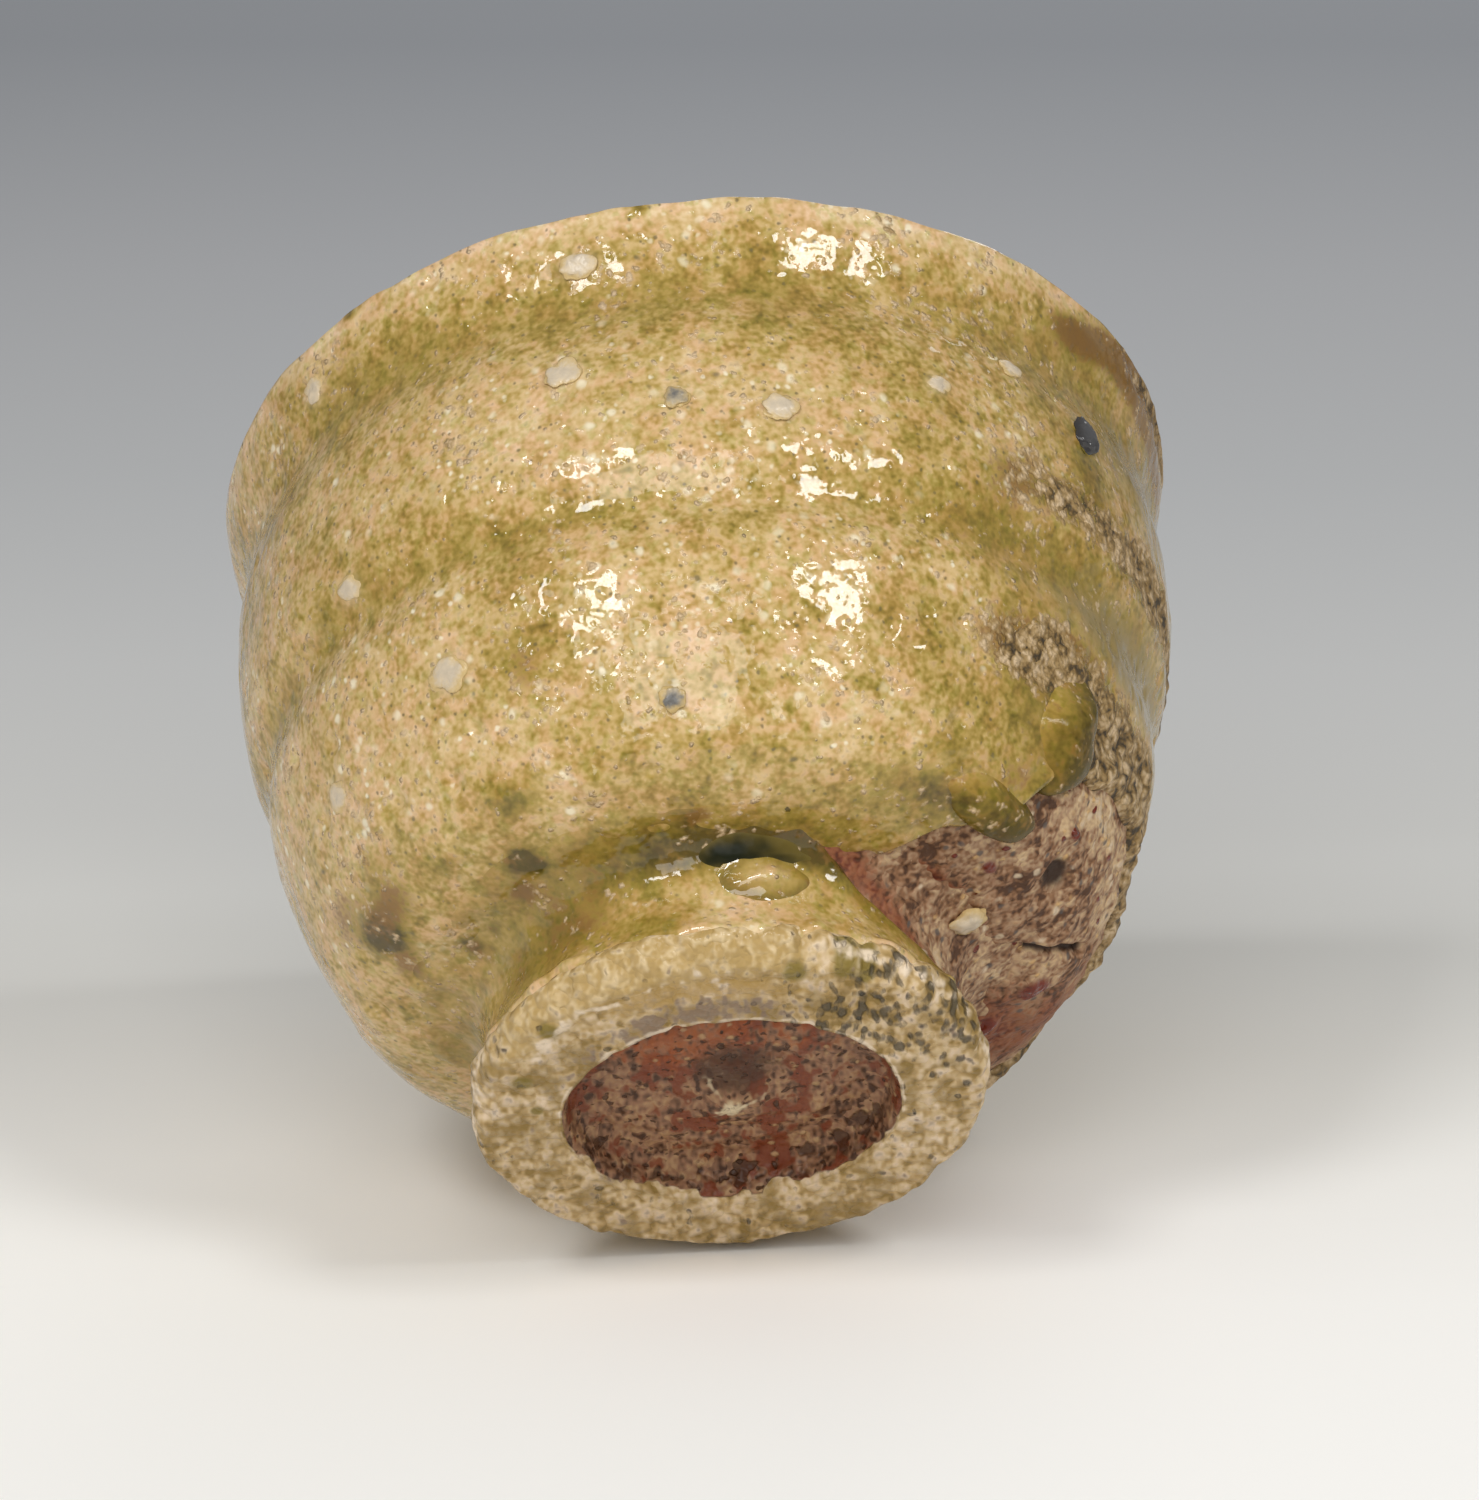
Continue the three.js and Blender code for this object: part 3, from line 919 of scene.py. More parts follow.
@dataclass(frozen=True)
class FootClay:
    """The foot's face: an ash crust on the ring, a pale wavy edge, and a red brown recess."""

    name: str
    side_clay: ScarClay
    moss: Colour = (0.27, 0.172, 0.046)
    tan: Colour = (0.47, 0.315, 0.135)
    beige: Colour = (0.60, 0.445, 0.245)
    blush: Colour = (0.70, 0.53, 0.345)
    white: Colour = (0.84, 0.69, 0.52)
    amber: Colour = (0.44, 0.275, 0.080)
    glaze: Colour = (0.48, 0.325, 0.125)
    cream: Colour = (0.66, 0.50, 0.27)
    pool: Colour = (0.21, 0.15, 0.024)
    pit: Colour = (0.075, 0.062, 0.040)
    mauve: Colour = (0.23, 0.155, 0.100)
    recess_dark: Colour = (0.06, 0.024, 0.010)
    recess_red: Colour = (0.17, 0.034, 0.010)
    recess_brown: Colour = (0.27, 0.137, 0.074)
    recess_tan: Colour = (0.46, 0.29, 0.14)
    ember: Colour = (0.31, 0.074, 0.014)
    pip: Colour = (0.62, 0.50, 0.32)
    pit_cell: tuple[float, float, float] = (0.8, 1.5, 0.9)
    pit_slant: float = 0.35

    def ring(self, g: Graph) -> tuple[Wire, Wire]:
        """The ring: pale knobs, amber and olive hollows partly painted as shade, glazed front edge, pits at
        its right.

        Args:
            g: The material's tree.

        Returns:
            The colour, and the height in millimetres.
        """
        broad, middle = g.noise(3.0, 63, 1.0, 1.7), g.noise(0.9, 64, 1.0, 1.8)
        fine = g.noise(0.38, 65, 0.0, 1.8)
        grit, ridge, dusk, relief, apron = map(g.trait, ("grit", "ridge", "dusk", "relief", "apron"))
        nodes, kind = g.grains(1.0, 61, 0.5)
        mottle = broad * 0.5 + middle * 0.7 + fine * 0.75 + kind * 0.15 - nodes * 0.4 - 0.86
        crust = (self.moss, self.tan, self.beige, self.blush, self.white)
        # Colour follows the relief: knobs paler, hollows darker and olive; partly the glaze's own pooling,
        # partly painted shade.
        colour = g.ramp(mottle + relief * 0.5 + 0.57, (0.16, 0.40, 0.56, 0.74, 1.0), crust)
        hollow = g.ease(g.noise(2.3, 72, 1.0, 1.5) + nodes * 0.15 - relief * 0.35 - grit * 0.1, 0.56, 0.84)
        golden = g.ease(g.trait("amber") * 0.7 + g.noise(0.8, 70, 1.0, 1.6) - relief * 0.2, 0.72, 1.10)
        runny = g.blend(self.glaze, self.cream, g.ease(middle * 0.7 + fine * 0.5 - nodes * 0.2, 0.42, 0.72))
        sockets = {"Vector": g.spot, "Rotation": (0.0, 0.0, self.pit_slant)}
        sockets["Scale"] = tuple(1 / MM / cell for cell in self.pit_cell)
        slanted = g.node("Mapping", None, sockets)
        streaky = g.node("TexNoise", None, {"Vector": slanted, "Scale": 1.0, "Detail": 1.5})
        dark = g.ease(streaky + grit * 0.18 + fine * 0.2 - relief * 0.1, 0.79, 0.97)
        dark = dark + g.specks(1.5, 73, 0.35, 0.08, 0.2) * 0.7
        # Knobs whiten where the relief stands high: partly thin ash glaze, partly painted shading by height.
        knobs = ridge * 0.8 + middle * 0.7 + fine * 0.3 + relief * 0.4 - nodes * 0.5 - golden * 0.2
        colour = g.layers(
            colour,
            (self.moss, hollow * 0.75),
            (self.amber, golden * 0.8),
            (runny, apron * 0.85),
            (self.pool, g.ease(g.trait("spot") + fine * 0.3, 0.35, 0.85) * 0.9),
            (self.mauve, g.ease(dusk + mottle * 1.2, 0.2, 0.65) * 0.9),
            (self.pit, dark * 0.85),
            (self.white, g.ease(knobs - apron * 0.25, 0.60, 1.0) * 0.8),
        )
        return colour, middle * 0.2 + fine * 0.05 - nodes * 0.3 - dark * 0.3

    def recess(self, g: Graph) -> tuple[Wire, Wire]:
        """The recess: red glass on mauve brown scales, tan flecks, dark stains and a pale pip.

        Args:
            g: The material's tree.

        Returns:
            The colour, and the height in millimetres.
        """
        scales, kind = g.grains(1.1, 66, 0.6)
        broad, middle = g.noise(2.2, 67, 1.0, 1.8), g.noise(0.8, 76, 1.0, 1.8)
        fine = g.noise(0.36, 68, 0.0, 1.8)
        shade = kind * 0.3 + fine * 0.8 + middle * 0.6 - scales * 0.2 - 0.36
        colour = g.ramp(shade, (0.10, 0.40, 0.85), (self.recess_dark, self.recess_brown, self.recess_tan))
        glass = g.ease(broad * 0.9 + middle * 0.6 + fine * 0.2, 0.84, 0.96)
        edge = g.ease(g.trait("ember") * 0.7 + middle * 1.4 + fine * 0.9 - scales * 0.3, 1.25, 2.0)
        tan = g.specks(1.0, 69, 0.6, 0.12, 0.32)
        dark = g.ease(g.noise(0.7, 77, 1.0), 0.63, 0.71)
        dark = dark + g.ease(g.trait("spot") + middle * 0.8 + fine * 0.5, 0.8, 1.2)
        colour = g.layers(
            colour,
            (self.recess_red, glass * 0.9),
            (self.ember, edge * 0.85),
            (self.recess_tan, tan * 0.75),
            (self.recess_dark, dark * 0.85),
            (self.pip, g.ease(g.trait("pip") + fine * 0.8, 0.7, 1.2)),
        )
        return colour, fine * 0.06 + middle * 0.25 - scales * 0.15 - dark * 0.1 + tan * 0.08

    def material(self) -> bpy.types.Material:
        """Joins ring, bare side and recess by the mesh's traits.

        Returns:
            The material.
        """
        g = Graph(self.name)
        bare, side = g.trait("bare"), g.trait("side")
        ring, ring_height = self.ring(g)
        clay, clay_height, glassy = self.side_clay.paint(g, 0.1, 0.0, g.trait("rust"))
        floor, floor_height = self.recess(g)
        shown = g.ease(side + ring_height, 0.35, 0.65)
        within = g.ease(bare, 0.3, 0.7)
        colour = g.blend(g.blend(ring, clay, shown), floor, within)
        height = ring_height * (1 - shown) * (1 - within) + clay_height * shown + floor_height * within
        rough = 0.28 + g.trait("grit") * 0.3 + shown * 0.25 + within * 0.1 - g.trait("apron") * 0.12
        return g.close(colour, rough - glassy * shown * 0.4, height, CLAY_SHEEN)


@dataclass(frozen=True)
class MeltedGlass:
    """Thick dark glass of the pool or the dark bead: one colour, another in the middle."""

    name: str
    body: Colour
    heart: Colour
    gloss: float
    sheen: float = 0.5

    def material(self) -> bpy.types.Material:
        """Blends the body colour to the heart's by the mesh's core trait and noise.

        Returns:
            The material.
        """
        g = Graph(self.name)
        share = g.ease(g.trait("core") + g.noise(1.1, 78, 1.0) * 0.6, 0.45, 1.4)
        colour = g.blend(self.body, self.heart, share)
        return g.close(colour, self.gloss, g.noise(0.9, 79, 1.0) * 0.08, self.sheen)


@dataclass(frozen=True)
class Feldspar:
    """Half-melted feldspar under a skin of glaze: clouded in the middle, stained towards its rim."""

    name: str
    white: Colour = (0.68, 0.56, 0.40)
    cloud: Colour = (0.56, 0.47, 0.35)
    stain: Colour = (0.58, 0.42, 0.19)
    sheen: float = 0.3

    def material(self) -> bpy.types.Material:
        """Mixes the three colours by noise and by the mesh's core trait.

        Returns:
            The material.
        """
        g = Graph(self.name)
        middle, fine, core = g.noise(0.8, 81, 3.0), g.noise(0.25, 82, 2.0), g.trait("core")
        colour = g.blend(self.white, self.cloud, g.ease(middle + core * 0.35, 0.55, 0.95))
        colour = g.blend(self.stain, colour, g.ease(core + fine * 0.5 + middle * 0.5, 0.75, 1.45))
        return g.close(colour, middle * 0.2 + 0.15, middle * 0.10, self.sheen)


# Sub-assemblies


@dataclass
class Bowl:
    """The thrown bowl: clay, and the glaze coats outside and inside."""

    shape: CupShape
    stones: tuple[Patch, ...]
    columns: int = 600
    crowding: float = 0.55
    coat_rows: int = 150
    back_rows: int = 14
    clay_columns: int = 480
    inner_columns: int = 400
    inner_rows: int = 110
    edge_width: float = 1.3
    lip_margin: float = 1.2
    side_clearance: float = 0.02
    top_clearance: float = 0.01
    back_sink: float = 0.05
    inner_depth: float = 0.45
    floor_start: float = 0.35
    joint_gap: float = 0.15
    lip_drop: float = 0.65
    olive_marks: tuple[Patch, ...] = marks(
        (-162, 10.4, 1.5, 1.6, 2.2), (-154.5, 8.9, 0.9, 0.8, 1.6), (-128, 9.35, 0.9, 0.9, 2.6),
        (-33, 35.0, 1.8, 3.4, 1.0), (-33, 17.5, 4.2, 4.4, 0.9), (-47, 10.4, 5.0, 2.0, 1.6),
        (-106, 26.9, 3.8, 1.3, 0.6), (-114, 18.6, 2.2, 3.0, 0.75), (-122, 11.0, 2.0, 1.2, 1.0),
        # (-79, 8.9) darkens the glaze edge over the pool: partly pooled olive, partly painted shade of the
        # joint.
        (-79, 8.9, 5.0, 1.3, 0.9), (-50.5, 12.9, 1.4, 1.0, 0.8), (-110, 23.5, 5.0, 1.4, 0.3),
        (-40, 27.0, 6.0, 2.6, 0.3), (-162, 10.8, 2.4, 1.5, 1.7), (-152, 12.6, 2.6, 1.2, 0.7),
        (-139, 10.4, 1.6, 0.8, 0.9), (-33, 47.4, 2.2, 1.1, 1.7), (-20, 47.5, 5.0, 0.8, 0.9),
        (-93.5, 49.9, 0.55, 0.5, 2.4), (-133, 49.9, 0.55, 0.5, 2.4), (-66, 14.8, 1.2, 0.8, 0.5),
    )
    rust_marks: tuple[Patch, ...] = marks(
        (-33, 47.2, 2.2, 1.1, 2.4), (-26, 48.4, 2.2, 0.9, 1.8), (-14, 49.0, 6.5, 1.1, 2.0),
        (-156, 10.9, 2.6, 1.4, 1.2), (-166, 13.0, 3.0, 1.6, 0.9), (-21.5, 47.7, 3.4, 0.9, 1.8),
        (-12.5, 47.1, 3.4, 0.9, 1.8), (-3, 46.9, 3.4, 0.9, 1.6), (-92.5, 9.1, 0.8, 0.6, 1.4),
        (-133, 8.9, 1.0, 0.7, 1.4), (-166, 9.7, 1.6, 0.9, 1.2), (-47, 20.5, 3.0, 1.6, 0.8),
        (-46, 31.5, 3.0, 2.2, 0.7), (-34, 22.0, 3.0, 2.0, 0.6), (-114, 17.6, 1.6, 2.0, 0.5),
        (-38, 13.0, 2.4, 1.4, 0.5),
    )
    pale_marks: tuple[Patch, ...] = marks(
        (-82, 20.5, 12.0, 4.5, 0.08), (-122, 33.0, 13.0, 6.0, 0.25), (-88, 34.5, 13.0, 3.4, 0.32),
        (-62, 12.5, 8.0, 2.0, 0.3), (-150, 26.0, 9.0, 9.0, 0.2), (-84, 26.5, 6.0, 2.0, 0.12),
        (-125, 14.5, 9.0, 2.5, 0.3), (-100, 12.5, 8.0, 1.6, 0.25),
    )
    red_beads: tuple[Patch, ...] = marks(
        (13.0, 10.2, 1.15, 0.95, 1.2), (-28.5, 10.0, 0.9, 0.45), (-32, 9.3, 0.6, 0.5), (-30, 8.95, 0.6, 0.5),
        (24, 9.6, 1.2, 0.5), (-19, 13.2, 0.8, 0.5), (-9, 8.9, 0.8, 1.0, 0.6), (-37, 8.95, 0.5, 0.4),
    )
    scar_pit: Patch = Patch(-14.5, 11.4, 1.5, 1.2, 1.0)
    scar_crack: tuple[tuple[float, float], tuple[float, float]] = ((-13.0, 8.7), (9.5, 12.3))
    crack_half: tuple[float, float] = (0.5, 0.4)

    def crowded(self) -> Array:
        """Azimuths of the coat's columns, closest on the crusty side: equal steps in the sum of a density.

        Returns:
            The azimuths in degrees.
        """
        fine = np.linspace(-180, 180, 3601)
        density = 1 + self.crowding * (lobe(fine, -20, 50) - lobe(fine, 130, 60))
        total = np.concatenate([[0.0], np.cumsum(density[1:])])
        return np.interp(np.arange(self.columns) / self.columns * total[-1], total, fine)

    def crust(self, azimuth: Array, height: Array, points: Array) -> Array:
        """Ash crust on the scar's side: two bands below the crests and a fringe above the scar.

        Args:
            azimuth: Azimuths in degrees.
            height: Heights.
            points: The points, for the noise.

        Returns:
            The crust at each point, up to 1.2.
        """
        side = between(turn(azimuth, 0), -54, -36, 62, 92)
        bands = bell(height, 20.3, 2.9) + 0.9 * bell(height, 32.3, 2.3) + 0.5 * rough(points, 5.0, 101) - 0.25
        over = height - self.shape.scar_edge(azimuth)
        fringe = between(turn(azimuth, 0), -32, -20, 60, 85) * fall(over, 1.5, 6.0)
        lip = 0.8 * lobe(azimuth, -8, 24) * bell(height, self.shape.height - 1.2, 1.5)
        return np.clip(side * bands + fringe + lip, 0, 1.2)

    def traits(self, azimuth: Array, height: Array, radius: Array, points: Array) -> dict[str, Array]:
        """Where the outer glaze pools, crusts, rusts, pales, clears, or covers a stone.

        Args:
            azimuth: Azimuths in degrees.
            height: Heights.
            radius: Radii.
            points: The points, for the noise.

        Returns:
            One array for each trait.
        """
        shape, around = self.shape, turn(azimuth, 0)
        line = shape.outer()
        grid = (azimuth, line.place_at_height(height), radius, line)
        drift, patchy = rough(points, 11.0, 105), rough(points, 4.0, 106)
        upper = bell(height, shape.height_of(0.845), 3.8) * (0.8 + 0.3 * drift)
        away = np.abs(turn(azimuth, -86))
        lower = bell(height, shape.height_of(0.46), 2.3) * (0.1 + 0.75 * ease(away, 12, 34))
        low = 0.15 * bell(height, 11.3, 1.3) + 0.4 * fall(height, 8.9, 10.2)
        crust = self.crust(azimuth, height, points)
        right = between(around, -42, -22, 60, 95)
        veil = right * (bell(height, 26.2, 2.6) + 0.8 * bell(height, 40.5, 4.2)) * (0.9 + 0.4 * drift)
        veil += 0.35 * ease(around, -58, -35) * bell(height, 24.5, 3.0)
        olive = 0.66 * upper + 0.72 * lower + low + 0.36 * patchy + 0.2 * drift
        olive += 0.22 * between(around, -72, -45, 60, 95) + spread_all(self.olive_marks, *grid)
        rust = spread_all(self.rust_marks, *grid) + 0.45 * ease(crust, 0.05, 0.4) + 0.1 * patchy
        pale = spread_all(self.pale_marks, *grid) + 0.25 * drift
        pale += 0.9 * bell(height, shape.height - 0.7, 1.6) * (1 - right)
        stone = 0.8 * np.clip(spread_all(self.stones, *grid), 0, 1) ** 2
        traits = {"olive": olive, "crust": crust, "rust": rust, "pale": pale}
        return traits | {"veil": np.clip(veil, 0, 1), "stone": stone}

    def coat_relief(self, azimuth: Array, height: Array, points: Array, traits: dict[str, Array]) -> Array:
        """Relief of the outer coat: swells, lumps, knobs, olive pools, gritty crust and pits.

        Each is a height times noise, a trait, or an ease of the distance to scattered centres.

        Args:
            azimuth: Azimuths in degrees.
            height: Heights.
            points: The points, for the noise.
            traits: The glaze's traits at each point.

        Returns:
            How far each point moves along its normal.
        """
        lift = 0.20 * rough(points, 9.0, 111, 2) + 0.08 * lumps(points, 3.2, 113)
        lift = lift + 0.02 * lumps(points, 1.5, 114) - 0.1
        lower_left = fall(height, 13, 17) * between(turn(azimuth, -140), -60, -30, 30, 60)
        knob, chance = craters(points, 4.2, 118)
        lift += (0.1 + 0.3 * lower_left) * fall(knob, 0.1, 1.7) * (chance > 0.6)
        lift += 0.12 * np.clip(traits["olive"], 0, 1.2) * ease(height, 9, 12)
        grain, _ = craters(points, 1.35, 115)
        gritty = 0.36 * rough(points, 2.6, 116, 3) + 0.4 * (0.6 - grain) - 0.12
        lift += np.minimum(traits["crust"], 1) * gritty
        pit, chance = craters(points, 3.4, 117)
        return lift - 0.30 * fall(pit, 0.2, 0.95) * (chance > 0.72)

    def outer_coat(self) -> Surface:
        """The outer coat as a ring of rows: up its outer face, over the lip, and down its back.

        The face is the turned line carried round the axis, moved along its normals by the coat's
        relief and by low domes over the stones. Near its lower edge it bends to the clay by a
        quarter circle. The back lies just inside the clay's face.

        Returns:
            The closed surface, with the glaze's traits.
        """
        shape = self.shape
        outer = shape.outer()
        azimuth = self.crowded()[None, :]
        start = outer.place_at_height(np.maximum(shape.scar_edge(azimuth), shape.foot_height))
        up, down = (np.linspace(*ends)[:, None] for ends in ((0, 1, self.coat_rows), (1, 0, self.back_rows)))
        place = start + up * (outer.total - start)
        radius, height, out, rise = outer.at(place)
        points = shape.place(azimuth, radius, height)
        traits = self.traits(azimuth, height, radius, points)
        lift = self.coat_relief(azimuth, height, points, traits)
        lift += 0.10 * np.clip(spread_all(self.stones, azimuth, place, radius, outer), 0, 1)
        from_edge = np.clip((place - start) / self.edge_width, 0, 1)
        edge = np.sqrt(1 - (1 - from_edge) ** 2)
        scar = np.minimum(1, 3 * shape.scar_bump(azimuth))
        swollen = scar * 0.35 * bell(place - start, 1.2, 1.2)
        lift = (shape.coat + lift + swollen) * (edge * scar + 1 - scar) - shape.coat
        lift *= fall(height, shape.lip_foot - 0.2, shape.height - 0.1)
        face_radius = np.minimum(radius + out * lift, shape.rim_radius - self.side_clearance)
        face_height = np.minimum(height + rise * lift, shape.height - self.top_clearance)
        face = shape.place(azimuth, face_radius, face_height)
        radius, height, out, rise = outer.at(start + down * (outer.total - self.lip_margin - start))
        depth = shape.coat + self.back_sink
        back = shape.place(azimuth, radius - out * depth, height - rise * depth)
        return Surface(np.concatenate([face, back]), carried(traits, 0, self.back_rows), ring=True)

    def crack(self, azimuth: Array, place: Array, radius: Array, line: Profile) -> Array:
        """The crack in the scar: a bell in the distance from a straight line between its two ends.

        Args:
            azimuth: Azimuths in degrees.
            place: Places along the line.
            radius: Radii.
            line: The turned line.

        Returns:
            The crack's depth at each point, 1 in its middle.
        """
        (start_turn, start_height), (end_turn, end_height) = self.scar_crack
        along = np.clip(turn(azimuth, start_turn) / (end_turn - start_turn), 0, 1)
        start, end = line.place_at_height(np.array([start_height, end_height]))
        across = place - start - along * (end - start)
        aside = np.radians(turn(azimuth, start_turn) - along * (end_turn - start_turn)) * radius
        return np.exp(-((across / self.crack_half[0]) ** 2) - (aside / self.crack_half[1]) ** 2)

    def clay(self) -> Surface:
        """The clay body: under the bowl, up the sunk outer line, over the lip, and down inside.

        On the scar the face is moved by grit, by a pit, by a crack, and by low domes for the glass
        beads.

        Returns:
            The closed surface, with the scar's traits.
        """
        shape = self.shape
        full, inner = shape.outer(), shape.inner()
        outer = full.sunk(shape.coat)
        fine = np.linspace(0.4, 16, 110, endpoint=False)
        coarse = np.linspace(16, outer.total - self.lip_margin, 40)
        wall = np.stack(outer.at(np.concatenate([fine, coarse]))[:2], axis=1)
        low = np.full(6, shape.foot_height + self.joint_gap)
        under = np.stack([np.linspace(0.5, wall[0, 0] - 0.2, 6), low], axis=1)
        inside = inner.line[::-60] + [shape.coat, 0]
        inside[:, 1] = np.minimum(inside[:, 1], shape.height) - self.lip_drop
        line = np.concatenate([under, wall, inside[1:-1]])
        normal = Profile.through(line).normal
        azimuth = np.linspace(-180, 180, self.clay_columns, endpoint=False)[None, :]
        radius, height = line[:, :1], line[:, 1:]
        points = shape.place(azimuth, radius, height)
        on_wall = np.zeros((len(line), 1))
        on_wall[len(under):len(under) + len(wall)] = 1
        over = shape.scar_edge(azimuth) - height
        bare = on_wall * ease(over, -0.2, 0.5)
        grid = (azimuth, full.place_at_height(height), radius, full)
        beads, pit, crack = spread_all(self.red_beads, *grid), self.scar_pit.spread(*grid), self.crack(*grid)
        grain, _ = craters(points, 1.2, 125)
        lift = 0.34 * rough(points, 2.4, 121, 3) + 0.22 * (0.6 - grain)
        lift = bare * (lift - 0.95 * pit - 0.85 * crack + 0.45 * beads + 0.15 * ease(over, 4, 0))
        moved = shape.place(azimuth, radius + normal[:, :1] * lift, height + normal[:, 1:] * lift)
        dust = 0.75 * fall(over, 0.5, 5.0) * ease(turn(azimuth, 0), -30, -12)
        ash = dust + 0.25 * rough(points, 3.0, 128) - 0.05
        strip = fall(radius, 16.6, 18.6) * lobe(azimuth, -36, 34)
        rust = strip + 0.7 * lobe(azimuth, 28, 14) + 0.25 * fall(height, 9.2, 10.6) - 0.6 * pit
        # The crack trait marks the crack and the pit for painted shade.
        traits = {"ash": ash, "bead": beads + 0.4 * pit, "rust": rust, "crack": crack + 1.1 * pit}
        return Surface(moved, {name: bare * values for name, values in traits.items()})

    def inner_coat(self) -> Surface:
        """The inner coat: the inner line carried round from the middle of the floor to the lip, and back.

        Returns:
            The closed surface, with the glaze's traits.
        """
        shape = self.shape
        inner = shape.inner()
        azimuth = np.linspace(-180, 180, self.inner_columns, endpoint=False)[None, :]
        up = np.linspace(self.floor_start, inner.total, self.inner_rows)[:, None]
        radius, height, out, rise = inner.at(up)
        points = shape.place(azimuth, radius, height)
        drift, patchy = rough(points, 11.0, 131), rough(points, 4.0, 132)
        lift = 0.16 * rough(points, 8.0, 133, 2) + 0.06 * lumps(points, 2.6, 134)
        lift *= fall(height, shape.lip_foot - 0.6, shape.height - 0.1)
        face_height = np.minimum(height - rise * lift, shape.height - self.top_clearance)
        face = shape.place(azimuth, radius - out * lift, face_height)
        pooled = fall(height, 14.0, 21.0)
        olive = 0.9 * pooled + 0.34 * patchy + 0.25 * drift + 0.35 * bell(height, 43.0, 3.0)
        pale = 0.25 * drift + 0.6 * bell(height, shape.height - 0.7, 1.5)
        traits = glaze_traits(olive, 0.25 * ease(patchy, 0.2, 0.7), pale)
        down = np.linspace(inner.total - self.lip_margin, self.floor_start, self.back_rows)[:, None]
        radius, height, out, rise = inner.at(down)
        back = shape.place(azimuth, radius + out * self.inner_depth, height + rise * self.inner_depth)
        return Surface(np.concatenate([face, back]), carried(traits, -1, self.back_rows))

    def build(self) -> None:
        """Adds the clay and the two coats."""
        add_piece("bowl", self.clay(), Slot.CLAY, ScarClay("scar_clay").material())
        add_piece("outer_glaze", self.outer_coat(), Slot.ASH_GLAZE, AshGlaze("ash_glaze").material())
        add_piece("inner_glaze", self.inner_coat(), Slot.INNER_GLAZE, AshGlaze("inner_ash_glaze").material())


@dataclass(frozen=True)
class FootZones:
    """The grid of the foot's clay, its points before any lump moves them, and the zones on it."""

    azimuth: Array
    radius: Array
    height: Array
    flat: Array
    outside: Array
    ring: Array
    back_wall: Array
    front_edge: Array
    far: Array
    bare: Array
    gritty: Array
    apron: Array
    calm: Array
    relief: Array
    streaks: Array


